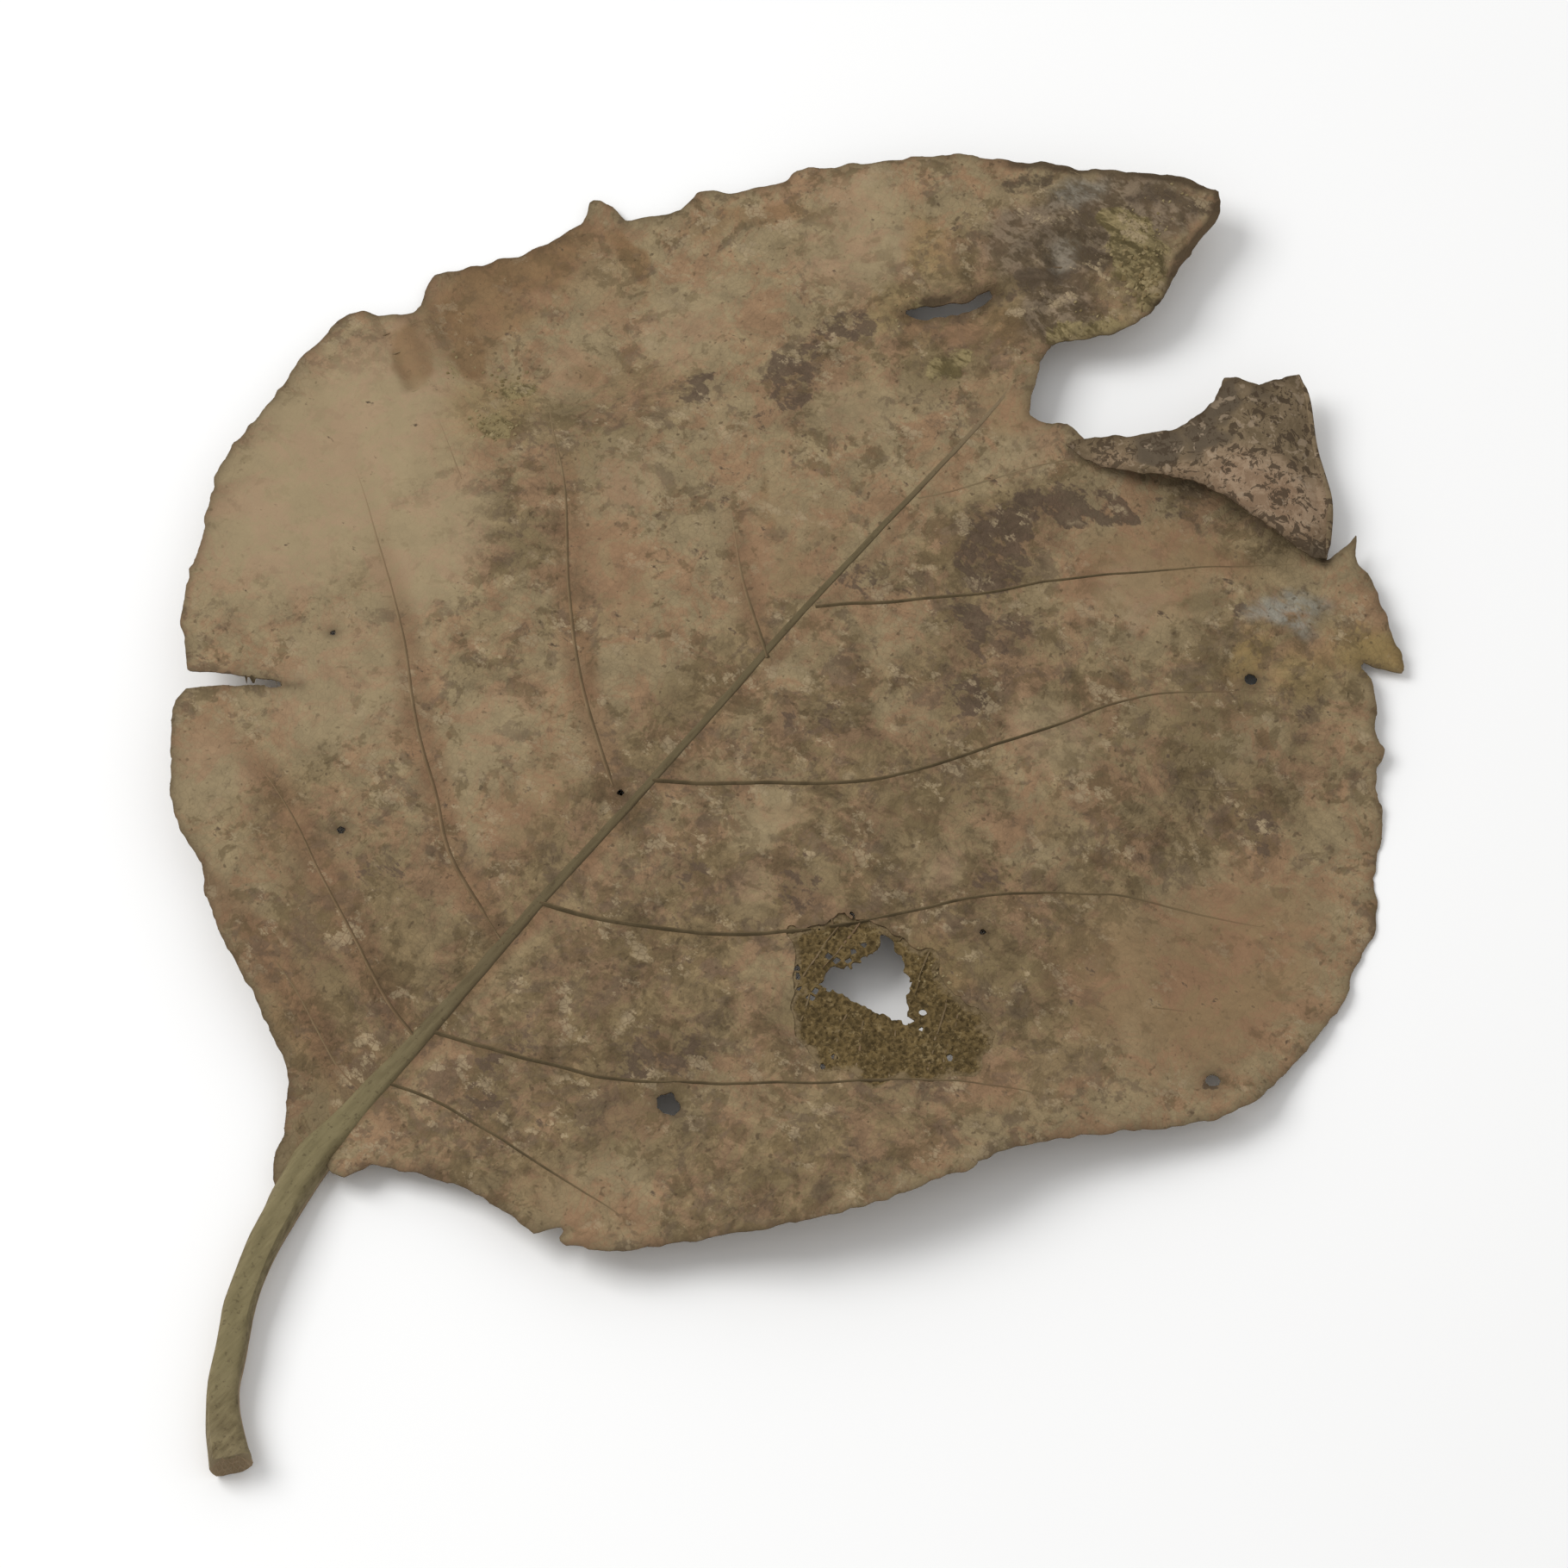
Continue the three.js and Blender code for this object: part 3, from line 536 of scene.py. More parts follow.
def blade_height(x, y, margin_depth=FAR_INSIDE):
    """Height of the middle of the blade above the surface that the leaf lies on."""
    along = clamp(x / BLADE_LENGTH, 0, 1)
    across = np.abs(y) / np.where(y > 0, LEFT_HALF_WIDTH, RIGHT_HALF_WIDTH)
    base_lift = np.where(y > 0, LEFT_BASE_LIFT, RIGHT_BASE_LIFT) * (1 - smooth_step(*BASE_LIFT_FADE, x))
    drop = TIP_SIDE_DROP * smooth_step(*DROP_GROWTH, x) * (1 - DROP_FADE_SHARE * smooth_step(*DROP_FADE, x))
    valley = VALLEY_DEPTH * (1 - np.exp(-(distance_to_veins(x, y) / VALLEY_WIDTH) ** 2))
    height = HEIGHT_AT_STALK + ARCH_HEIGHT * np.sin(np.pi * along)
    height = height + (base_lift - drop) * across ** SIDE_CURVE
    height = height + TIP_LIFT * smooth_step(*TIP_LIFT_GROWTH, x) + valley + margin_wave(x, y)
    height = np.maximum(height, CLEAR_HEIGHT) + fine_relief(x, y) + margin_curl(x, y, margin_depth)
    return mix(REST_HEIGHT, height, away_from_rest(x, y))


def flap_height(x, y):
    """Height of the middle of the flap: it bends up from its fold, and is stuck down at its upper end."""
    run_x = FOLD_END[0] - FOLD_START[0]
    run_y = FOLD_END[1] - FOLD_START[1]
    from_fold = ((x - FOLD_START[0]) * run_y - (y - FOLD_START[1]) * run_x) / math.hypot(run_x, run_y)
    raised = 1 - np.exp(-np.maximum(from_fold, 0) / FLAP_BEND)
    loose = mix(FLAP_STUCK_SHARE, 1, smooth_step(FLAP_STUCK_Y, FLAP_LOOSE_Y, y))
    growth = clamp(from_fold / FLAP_RIPPLE_GROWTH, 0, 1)
    ripple = FLAP_RIPPLE * layered_noise(x, y, FLAP_RIPPLE_SIZE, 31) * growth
    return blade_height(x, y) + FLAP_ROOT_GAP + FLAP_RISE * raised * loose + ripple


# How the edges of colour spots wander: reach, size and the salts for x and y
BLOT_WARPS = [(2.6, 9, 41, 44), (1.5, 3.2, 46, 48)]
BLOT_EDGE = (0.45, 1.3)


def blots(x, y, spots):
    """Strength from 0 to 1 of soft-edged ovals: x, y, half length, half width, turn, strength."""
    warp_x = x
    warp_y = y
    for reach, size, salt_x, salt_y in BLOT_WARPS:
        warp_x = warp_x + reach * layered_noise(x, y, size, salt_x)
        warp_y = warp_y + reach * layered_noise(x, y, size, salt_y)
    strength = np.zeros(np.shape(x))
    for spot_x, spot_y, half_length, half_width, turn, most in spots:
        along = (warp_x - spot_x) * math.cos(turn) + (warp_y - spot_y) * math.sin(turn)
        across = (warp_y - spot_y) * math.cos(turn) - (warp_x - spot_x) * math.sin(turn)
        reach = np.hypot(along / half_length, across / half_width)
        strength = np.maximum(strength, most * (1 - smooth_step(*BLOT_EDGE, reach)))
    return strength


# Where the blade's colours change: x, y, half length, half width, turn, strength
ACROSS_VIEW = -0.77
ALONG_VIEW = 0.8
CREAM_SPOTS = [
    (86, 69, 31, 17, 0.1, 1.0), (60, 44, 16, 11, 0.3, 0.45), (84, 50, 15, 9, 0.3, 0.85),
    (36, 49, 9, 7, 0.8, 0.4), (164, 34, 10, 9, ALONG_VIEW, 0.55), (172, 40, 6, 5, -0.8, 0.5),
    (66, 22, 9, 5, 0.2, 0.3), (112, 34, 7, 6, 0, 0.35), (80, -18, 5, 4, 0, 0.35),
    (69, -23, 5, 3, ALONG_VIEW, 0.35), (142, 15, 6, 5, ACROSS_VIEW, 0.4), (140, 46, 8, 8, 0, 0.4),
    (150, -7, 7, 4, 0, 0.35), (160, -10, 3, 3, 0, 0.3), (128, 56, 14, 4, 0.2, 0.3),
    (142, -35, 8, 6, 0, 0.35), (116, -40, 5, 8, 0.2, 0.5), (88, -41, 4, 3, 0, 0.4),
]
PINK_SPOTS = [
    (101, -82, 22, 13, 0.1, 1.0), (91, -72, 14, 10, 0.3, 0.9), (145, -33, 12, 9, ACROSS_VIEW, 1.0),
    (155, -37, 9, 2.6, -1.35, 1.0), (96, 23, 14, 5, ALONG_VIEW, 0.6), (115, 12, 14, 5, 0.5, 0.4),
    (103, 60, 9, 14, 0.3, 0.3), (161, 13, 5, 1.6, ACROSS_VIEW, 1.0), (128, 44, 9, 8, 0, 0.35),
    (103, -48, 5, 4, 0, 0.5), (130, 72, 18, 8, -0.4, 0.8), (113, 7, 6, 5, 0, 0.6), (123, 6, 5, 4, 0, 0.5),
    (154, -1, 5, 5, 0, 0.7), (82, -19, 5, 2, ACROSS_VIEW, 0.5), (49, -42, 5, 3, 0, 0.4),
    (76, 53, 5, 4, 0, 0.4), (171, 23, 4, 1.6, ALONG_VIEW, 0.9), (58, 9, 12, 5, 0.3, 0.6),
    (33, 30, 6, 12, -0.3, 0.4), (16, -35, 6, 10, 0, 0.4), (70, -74, 14, 5, -0.6, 0.35),
]
FILM_SPOTS = [
    (26, 14, 22, 14, 0.3, 0.95), (60, 2, 62, 7, 0, 0.9), (95, 41, 10, 9, 0, 0.8), (88, 26, 7, 5, 0, 0.6),
    (125, 42, 9, 7, 0, 0.7), (160, 37, 5, 9, 0, 0.35), (125, 74, 24, 7, -0.3, 0.4),
    (174, 10, 28, 15, -0.4, 1.0), (48, -20, 50, 20, 0, 1.0), (75, -52, 40, 27, -0.6, 1.0),
    (104, -26, 34, 24, -0.5, 0.9), (134, -60, 26, 18, 0.4, 0.8), (100, -64, 34, 12, 0.1, 0.8),
    (96, -20, 14, 8, 0, 1.0), (132, -14, 22, 10, 0, 0.9), (165, -38, 20, 14, 0.6, 0.6),
    (144, 22, 14, 10, 0, 0.5), (112, 50, 9, 8, 0, 0.6), (30, -50, 18, 14, -0.8, 0.9),
    (76, 30, 6, 10, -0.6, 0.4), (44, -59, 18, 9, -0.7, 1.0), (38, 34, 10, 9, 0, 0.7),
]
CLEAR_SPOTS = [
    (80, -17, 7, 5, 0, 0.8), (105, -22, 4, 7, 0, 0.8), (116, -13, 8, 4, 0.3, 0.8),
    (108, -40, 8, 3.6, ALONG_VIEW, 0.8), (98, -50, 3.6, 6, 0.3, 0.7), (134, -62, 6, 4, -0.4, 0.9),
    (150, -8, 8, 4, 0, 0.9), (18, -38, 9, 8, 0.8, 0.8), (60, -36, 4, 8, 0, 0.5), (54, 12, 7, 7, 0, 0.5),
    (146, -33, 13, 9, ACROSS_VIEW, 0.9), (98, -76, 18, 11, 0.3, 0.8), (100, -5, 4, 3, 0, 0.7),
    (64, -10, 3, 4, 0, 0.4), (180, 17, 5, 5, 0, 0.7), (116, -36, 5, 4, 0, 0.4),
]
OLIVE_SPOTS = [
    (65, -46, 14, 10, -0.35, 0.9), (10, 0, 26, 5, 0, 0.8), (114, 40, 9, 8, 0, 0.7), (110, 26, 6, 5, 0, 0.4),
    (86, 5, 8, 6, 0, 0.6), (116, 48, 7, 4, ACROSS_VIEW, 0.9), (93, 38, 5, 5, 0, 0.8),
    (125, 52, 3, 3, 0, 0.8), (134, -56, 12, 7, 0.5, 0.8), (154, 12, 6, 4, ACROSS_VIEW, 0.8),
    (160, 8, 4, 4, 0, 0.7), (32, -32, 12, 9, 0, 0.7), (159, -4, 6, 2, ALONG_VIEW, 0.8),
    (148, -43.5, 5, 2.6, ACROSS_VIEW, 1.1), (44, -18, 12, 7, 0, 0.5), (80, -60, 8, 12, 0, 0.7),
    (24, 22, 7, 12, -0.5, 0.6), (95, -34, 10, 6, -0.6, 0.6), (122, -48, 12, 6, 0.4, 0.6),
    (160, 30, 3, 6, 0.5, 0.5), (34, -54, 6, 4, -0.6, 0.7),
]
# Partly painted shade in the pleats and creases and beside some veins, partly the blade's own brown colour
BROWN_AND_CREASE_SHADE_SPOTS = [
    (109, 73, 8, 3.6, ALONG_VIEW, 0.7), (117, 71, 8, 3.4, 1.0, 1.0), (138, 58, 9, 5, 0, 0.4),
    (134, 73, 16, 6, -0.4, 0.7), (120, 72, 14, 9, 0, 0.6), (145, 62, 7, 2.6, 1.3, 0.8),
    (85, 22, 15, 1.6, 0.95, 0.6), (105, 41, 8, 1.6, 0.8, 0.5), (160, 50, 14, 2.6, -0.8, 0.6),
    (12, 12, 4, 14, -0.3, 0.5), (120, 16, 9, 1.4, 0.9, 0.5), (158, 18, 6, 3, 0.6, 0.5),
    (166, 8, 5, 3, 0.8, 0.6),
]
PURPLE_SPOTS = [
    (132, 37, 4, 3.4, 0, 0.85), (139, 25, 8, 5, ALONG_VIEW, 0.9), (152, 27, 5, 3, ACROSS_VIEW, 0.85),
    (145, 26, 5, 3.6, 0, 0.6), (131, 25, 3, 2, 0, 0.7), (133, -16, 6, 5, ALONG_VIEW, 1.0),
    (142, -14.5, 9, 3, -0.1, 1.0), (137, -12, 5, 3, ACROSS_VIEW, 1.0),
    (149, -20, 9, 3.4, ACROSS_VIEW, 1.05), (122, -21, 7, 3, ALONG_VIEW, 0.85),
    (153, -24.5, 5, 3.4, ACROSS_VIEW, 1.05), (157, -29, 2.6, 5, 0, 0.7), (119, -4, 8, 4, ACROSS_VIEW, 0.6),
    (73, -29, 6, 4.5, 0.6, 0.75), (98, -15, 5, 4, 0, 0.7), (41, -30, 8, 5, ACROSS_VIEW, 0.8),
    (126, -27, 5, 5, 0, 0.75), (91, -46, 3, 3.5, 0, 0.6), (113, -28, 5, 3.5, ACROSS_VIEW, 0.85),
    (94, -9, 4, 3, 0, 0.5), (66, -14, 5, 4, 0, 0.5), (150, -49, 2.6, 1.8, 0, 0.8), (144, -64, 4, 2, 0, 0.6),
    (60, 3, 6, 3, 0, 0.4), (24, -14, 10, 5, 0, 0.65), (86, -92, 2.2, 1.4, ACROSS_VIEW, 0.9),
    (38, 20, 4, 5, 0, 0.5), (126, -72, 5, 4, 0, 0.5), (116, 24, 4, 3, 0, 0.4),
]
TIP_SPOTS = [(188, 9, 18, 10, -0.5, 1.0), (174, 3, 8, 7, 0, 0.8), (196, 2, 9, 5, -0.6, 1.0)]
# Dark patches of the tip; the thin ones along the tip lobe's lower edge and along the margin above the tip
# are painted shadow of the curled edge
DARK_TIP_SPOTS = [
    (188, 10, 5, 3, ALONG_VIEW, 0.8), (176, 9, 7, 2.4, -0.95, 1.0), (183, 3, 2, 6, 0.2, 0.9),
    (199, 3, 6, 2, -0.9, 0.8), (190, 22, 8, 1.8, -0.75, 0.9), (182, 13, 4, 3, 0, 0.7),
    (202, -3, 4, 3, -0.6, 0.9), (168.5, 7, 3, 4, 0, 0.6), (172, 12, 4, 2, 0, 0.7),
    (193, -6, 3, 1.6, 0, 0.6), (181, -8, 5, 1.4, 0.2, 0.6),
]
CRUST_SPOTS = [
    (188, -0.5, 7.5, 5.5, ALONG_VIEW, 1.0), (191, 5, 4, 3, ACROSS_VIEW, 0.9),
    (184, -6.5, 4, 2.4, ACROSS_VIEW, 1.0), (107, 56, 3.5, 3.5, 0, 0.9),
    (115, 59.5, 2.6, 3.6, ALONG_VIEW, 0.8), (173, -3.5, 8, 4.4, ACROSS_VIEW, 0.85),
    (112, 69, 2.5, 3, 0, 0.4), (157, 10, 4, 3, 0, 0.7), (162, 20, 3, 2.6, 0, 0.6), (185, -9, 3, 2, 0, 0.8),
]
YELLOW_SPOTS = [
    (157, -67.5, 4, 6, 0.2, 1.2), (143, -54, 5, 3.4, 0, 1.0), (149, -62, 7, 4, -0.5, 0.6),
    (110, 59, 8, 7, 0, 0.5), (174, -2, 8, 4, ACROSS_VIEW, 0.5), (170, 27, 6, 4, ALONG_VIEW, 0.6),
    (75, -52, 4, 6, 0, 0.45), (158, 24, 5, 3, 0, 0.5),
]
LOBE_SPOTS = [(187.5, -0.5, 6.0, 5.0, ALONG_VIEW, 1.0), (184.5, -6.5, 4, 2.4, ACROSS_VIEW, 1.0)]
# Painted shadow beside the curled edges of the tip, under the slit's upper lip and under the flap's lower
# corner
PAINTED_EDGE_SHADOW_SPOTS = [
    (195, -8, 15, 6, 0.2, 1.0), (165, 19.5, 7, 1.8, -0.75, 1.0), (203, 4, 5, 8, 0, 0.8),
    (188, 22, 14, 5, -0.7, 0.8), (174, -9, 5, 4, 0, 1.0), (160, -52, 8, 4, 0.8, 0.8),
]
PALE_SPOTS = [
    (154, -54.5, 6.5, 3.6, ACROSS_VIEW, 1.0), (192, 14, 5, 3, ACROSS_VIEW, 0.6), (181, 8, 3, 3, 0, 0.4),
]
ZONE_SPOTS = {
    "cream": CREAM_SPOTS, "pink": PINK_SPOTS, "film": FILM_SPOTS, "olive": OLIVE_SPOTS, "brown": BROWN_AND_CREASE_SHADE_SPOTS,
    "purple": PURPLE_SPOTS, "tip": TIP_SPOTS, "dark_tip": DARK_TIP_SPOTS, "crust": CRUST_SPOTS,
    "yellow": YELLOW_SPOTS, "pale": PALE_SPOTS,
}
# Brown halos beside the veins: width and strength in each half, and where they fade
HALO_WIDTHS = (1.0, 2.9)
HALO_SHIFT = 0.5
RIGHT_HALO = 0.4
HALO_FADE_OUT = (0.75, (32, 62))
HALO_FADE_ALONG = (0.7, (95, 125))
MIDRIB_HALO = 0.8
MIDRIB_HALO_Y = -2.2
MIDRIB_HALO_WIDTH = 1.3
MIDRIB_HALO_FADE = (120, 168)
# Dark rims: strength and width of the narrow one, and where the wide one, painted shadow beside the curled
# tip edges, the slit's upper lip and the flap's corner, ends
RIM_STRENGTH = 0.6
RIM_WIDTH = 0.8
PAINTED_EDGE_SHADOW_END = (0.7, 1.9)


def vein_halo(x, y):
    """Strength of the brown halo beside the side veins and the midrib."""
    nearest = np.full(np.shape(x), np.inf)
    for line in VEIN_LINES:
        nearest = np.minimum(nearest, distance_to_line(x, y + HALO_SHIFT, line))
    fade = np.where(y > MIDRIB_Y, 1, RIGHT_HALO)
    for (share, ends), place in ((HALO_FADE_OUT, y), (HALO_FADE_ALONG, x)):
        fade = fade * (1 - share * smooth_step(*ends, place))
    halo = np.exp(-(nearest / mix(*HALO_WIDTHS, smooth_step(*HALF_BLEND, y))) ** 2) * fade
    beside_midrib = np.exp(-((y - MIDRIB_HALO_Y) / MIDRIB_HALO_WIDTH) ** 2)
    return np.maximum(halo, MIDRIB_HALO * beside_midrib * (1 - smooth_step(*MIDRIB_HALO_FADE, x)))


def colour_zones(x, y, margin_depth):
    """The blade's colour masks at each place, by name."""
    zones = {name: blots(x, y, spots) for name, spots in ZONE_SPOTS.items()}
    zones["film"] = clamp(zones["film"] - blots(x, y, CLEAR_SPOTS), 0, 1)
    zones["halo"] = vein_halo(x, y)
    zones["rim"] = RIM_STRENGTH * np.exp(-np.maximum(margin_depth, 0) / RIM_WIDTH)
    zones["painted_edge_shadow"] = blots(x, y, PAINTED_EDGE_SHADOW_SPOTS) * (1 - smooth_step(*PAINTED_EDGE_SHADOW_END, margin_depth))
    return zones


def clipped_grid(xs, ys, keep_at):
    """Places and triangles of a grid where keep_at is above 0, cut along the line where it is 0."""
    grid_x, grid_y = np.meshgrid(xs, ys, indexing="ij")
    keep = keep_at(grid_x, grid_y).ravel()
    places = np.stack([grid_x.ravel(), grid_y.ravel()], 1)
    number = np.arange(len(places)).reshape(grid_x.shape)
    a = number[:-1, :-1]
    b = number[1:, :-1]
    c = number[1:, 1:]
    d = number[:-1, 1:]
    even = (np.add.outer(np.arange(a.shape[0]), np.arange(a.shape[1])) % 2 == 0)
    first = np.where(even[..., None], np.stack([a, b, c], -1), np.stack([a, b, d], -1)).reshape(-1, 3)
    second = np.where(even[..., None], np.stack([a, c, d], -1), np.stack([b, c, d], -1)).reshape(-1, 3)
    triangles = np.concatenate([first, second])
    inside = keep[triangles] > 0
    count = inside.sum(1)
    whole = triangles[count == 3]
    one = rolled_to(triangles[count == 1], inside[count == 1])
    two = rolled_to(triangles[count == 2], ~inside[count == 2])
    cut_ends = np.concatenate([one[:, [0, 1]], one[:, [0, 2]], two[:, [1, 0]], two[:, [2, 0]]])
    keys, cut_number = np.unique(cut_ends[:, 0] * len(places) + cut_ends[:, 1], return_inverse=True)
    from_place = keys // len(places)
    to_place = keys % len(places)
    share = clamp(keep[from_place] / (keep[from_place] - keep[to_place]), *CUT_SHARES)[:, None]
    cuts = places[from_place] + (places[to_place] - places[from_place]) * share
    last_of_each = np.cumsum([len(one), len(one), len(two)])
    one_b, one_c, two_b, two_c = np.split(cut_number.ravel() + len(places), last_of_each)
    corners = np.stack([one[:, 0], one_b, one_c], 1)
    lower = np.stack([two_b, two[:, 1], two[:, 2]], 1)
    upper = np.stack([two_b, two[:, 2], two_c], 1)
    triangles = np.concatenate([whole, corners, lower, upper])
    used, triangles = np.unique(triangles, return_inverse=True)
    return np.concatenate([places, cuts])[used], triangles.reshape(-1, 3)


def rolled_to(triangles, chosen):
    """Triangles turned round so that their chosen corner comes first."""
    first = np.argmax(chosen, 1)
    rows = np.arange(len(triangles))
    return np.stack([triangles[rows, (first + k) % 3] for k in range(3)], 1)


def open_edges(triangles):
    """Edges that only one triangle has, in that triangle's direction."""
    edges = np.concatenate([triangles[:, [0, 1]], triangles[:, [1, 2]], triangles[:, [2, 0]]])
    size = triangles.max() + 1
    keys = edges[:, 0] * size + edges[:, 1]
    twins = edges[:, 1] * size + edges[:, 0]
    return edges[~np.isin(keys, twins)]


def mesh_object(name, points, faces, lower_faces, values, materials):
    """A smooth-shaded object, in metres, from points and faces in millimetres, with its colour masks.

    The first material is for the faces and the second one for the faces of the lower side."""
    mesh = bpy.data.meshes.new(name)
    mesh.from_pydata((points * METRES).tolist(), [], np.concatenate([faces, lower_faces]).tolist())
    mesh.update()
    mesh.shade_smooth()
    mesh.set_sharp_from_angle(angle=math.radians(SHARP_ANGLE))
    for key, numbers in values.items():
        layer = mesh.attributes.new(key, "FLOAT", "POINT")
        layer.data.foreach_set("value", np.asarray(numbers, np.float32))
    for material in materials:
        mesh.materials.append(material)
    if len(materials) > 1:
        mesh.polygons.foreach_set("material_index", np.repeat([0, 1], [len(faces), len(lower_faces)]))
    piece = bpy.data.objects.new(name, mesh)
    bpy.context.scene.collection.objects.link(piece)
    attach(piece, BODY)
    return piece


def sheet_object(name, places, triangles, middle, thickness, values, materials):
    """A thin closed sheet whose middle runs at the given heights."""
    count = len(places)
    top = np.column_stack([places, middle + thickness / 2])
    bottom = np.column_stack([places, middle - thickness / 2])
    a, b = open_edges(triangles).T
    walls = np.concatenate([np.stack([b, a, a + count], 1), np.stack([b, a + count, b + count], 1)])
    both = {key: np.concatenate([numbers, numbers]) for key, numbers in values.items()}
    points = np.concatenate([top, bottom])
    upper = np.concatenate([triangles, walls])
    return mesh_object(name, points, upper, triangles[:, ::-1] + count, both, materials)


def edge_thickness(depth):
    """Thickness of the blade, which gets thinner towards its margin."""
    return mix(EDGE_THICKNESS, BLADE_THICKNESS, clamp(depth / EDGE_TAPER, 0, 1))


def grid_lines(outline, around, spacing):
    """The x and y of a grid that covers an outline and what is around it."""
    low = np.min(outline, 0) - around
    high = np.max(outline, 0) + around
    return np.arange(low[0], high[0], spacing), np.arange(low[1], high[1], spacing)


def hole_clearance(x, y):
    """Distance outside the nearest hole, with ragged rims."""
    ragged = raggedness(x, y, HOLE_RAGGEDNESS)
    clear = -depth_inside(x, y, ROTTED_HOLE) + ROTTED_RIM_FACTOR * ragged
    clear = np.minimum(clear, -depth_inside(x, y, SMALL_HOLE) + ragged)
    clear = np.minimum(clear, -depth_inside(x, y, TIP_SLIT) + ragged)
    for hole_x, hole_y, radius in PINHOLES:
        clear = np.minimum(clear, np.hypot(x - hole_x, y - hole_y) - radius + PINHOLE_RIM_FACTOR * ragged)
    return clear


def ragged_margin(x, y):
    """Depth inside the margin, which is uneven on a small scale."""
    return depth_inside(x, y, MARGIN) + raggedness(x, y, MARGIN_RAGGEDNESS) - MARGIN_INSET


def ragged_depth(x, y):
    """How far a place is inside the ragged margin and clear of the holes."""
    return np.minimum(ragged_margin(x, y), hole_clearance(x, y))


def clear_depth(x, y):
    """The same with a smooth margin."""
    return np.minimum(depth_inside(x, y, MARGIN), hole_clearance(x, y))


def patch_depth(x, y):
    """Depth inside the rotted patch."""
    return depth_inside(x, y, PATCH_OUTLINE) + raggedness(x, y, PATCH_RAGGEDNESS)


def blade_half(name, lowest_y, highest_y, materials):
    """One half of the blade: a thin sheet up to its ragged margin, its holes and the rotted patch."""
    xs = np.arange(BLADE_START, BLADE_END, BLADE_SPACING)
    ys = np.linspace(lowest_y, highest_y, round((highest_y - lowest_y) / BLADE_SPACING) + 1)
    places, triangles = clipped_grid(xs, ys, lambda x, y: np.minimum(ragged_depth(x, y), -patch_depth(x, y)))
    x, y = places.T
    depth = ragged_depth(x, y)
    middle = blade_height(x, y, depth)
    zones = colour_zones(x, y, depth)
    return sheet_object(name, places, triangles, middle, edge_thickness(depth), zones, materials)


def net_cells(x, y, size, salt):
    """Distance to the border of the uneven net cell at a place, and that cell's centre and number."""
    i = np.floor(x / size)
    j = np.floor(y / size)
    least, spread = CELL_SPREAD
    centres = []
    for near_i in (i - 2, i - 1, i, i + 1, i + 2):
        for near_j in (j - 2, j - 1, j, j + 1, j + 2):
            centre_x = (near_i + least + spread * lattice_random(near_i, near_j, salt)) * size
            centre_y = (near_j + least + spread * lattice_random(near_i, near_j, salt + 1)) * size
            centres.append((centre_x, centre_y, lattice_random(near_i, near_j, salt + 2)))
    nearest = np.argmin([np.hypot(x - centre_x, y - centre_y) for centre_x, centre_y, _ in centres], 0)
    own_x, own_y, number = (np.choose(nearest, values) for values in zip(*centres))
    border = np.full(np.shape(x), np.inf)
    for centre_x, centre_y, _ in centres:
        apart = np.hypot(centre_x - own_x, centre_y - own_y)
        middle_x = (centre_x + own_x) / 2
        middle_y = (centre_y + own_y) / 2
        across = (middle_x - x) * (centre_x - own_x) + (middle_y - y) * (centre_y - own_y)
        border = np.where(apart > TINY, np.minimum(border, across / np.maximum(apart, TINY)), border)
    return border, own_x, own_y, number


def skeleton_patch(materials):
    """The rotted patch: strands of the vein net, with thin skin left in most of its cells."""

    def net(x, y):
        border, cell_x, cell_y, number = net_cells(x, y, CELL_SIZE, 81)
        near_hole = np.exp(np.minimum(depth_inside(cell_x, cell_y, ROTTED_HOLE), 0) / OPEN_REACH)
        openness = OPEN_AT_HOLE * near_hole + raggedness(cell_x, cell_y, OPEN_NOISE) - CLOSED_BIAS
        return np.where(number < openness, STRAND - border, STRAND), border

    def keep(x, y):
        edge = np.minimum(patch_depth(x, y) + PATCH_OVERLAP, hole_clearance(x, y) + PATCH_HOLE_OVERLAP)
        return np.minimum(edge, net(x, y)[0])

    places, triangles = clipped_grid(*grid_lines(PATCH_OUTLINE, 2, PATCH_SPACING), keep)
    x, y = places.T
    strand = 1 - smooth_step(*STRAND_EDGE, net(x, y)[1])
    sunk = smooth_step(*PATCH_SINK_GROWTH, patch_depth(x, y))
    middle = blade_height(x, y) - (PATCH_SINK + CELL_SINK * (1 - strand)) * sunk
    thickness = mix(SKIN_THICKNESS, STRAND_THICKNESS, strand)
    values = colour_zones(x, y, np.full(len(x), FAR_INSIDE))
    values["strand"] = strand
    values["inner"] = smooth_step(*PATCH_INNER_GROWTH, patch_depth(x, y))
    return sheet_object("skeleton_patch", places, triangles, middle, thickness, values, materials)


FLAP_PINK_SPOTS = [(166, -40, 15, 7, -0.9, 1.0), (160, -30, 5, 5, 0, 0.7), (157, -19, 4, 3, -0.8, 0.5)]
FLAP_SPECKLE_SPOTS = [
    (161, -38, 3, 10, 0, 1.0), (164, -46, 3.5, 7, 0.5, 1.0), (168, -42, 3, 9, -0.9, 0.7),
    (160, -27, 5, 4, 0, 0.8), (157, -18, 3, 3, 0, 0.8), (173, -40, 3, 5, 0, 0.4),
]
FLAP_SHADE_SPOTS = [
    (173, -26, 9, 2.6, 0.05, 1.0), (163, -23, 5, 3, -0.8, 0.9), (168, -29, 5, 3, -0.6, 0.8),
    (181, -29, 4, 2, 0, 0.6), (163.5, -51, 3, 2, 0.8, 0.7),
]
FLAP_ZONE_SPOTS = {"speckle": FLAP_SPECKLE_SPOTS, "shade": FLAP_SHADE_SPOTS, "pink": FLAP_PINK_SPOTS}


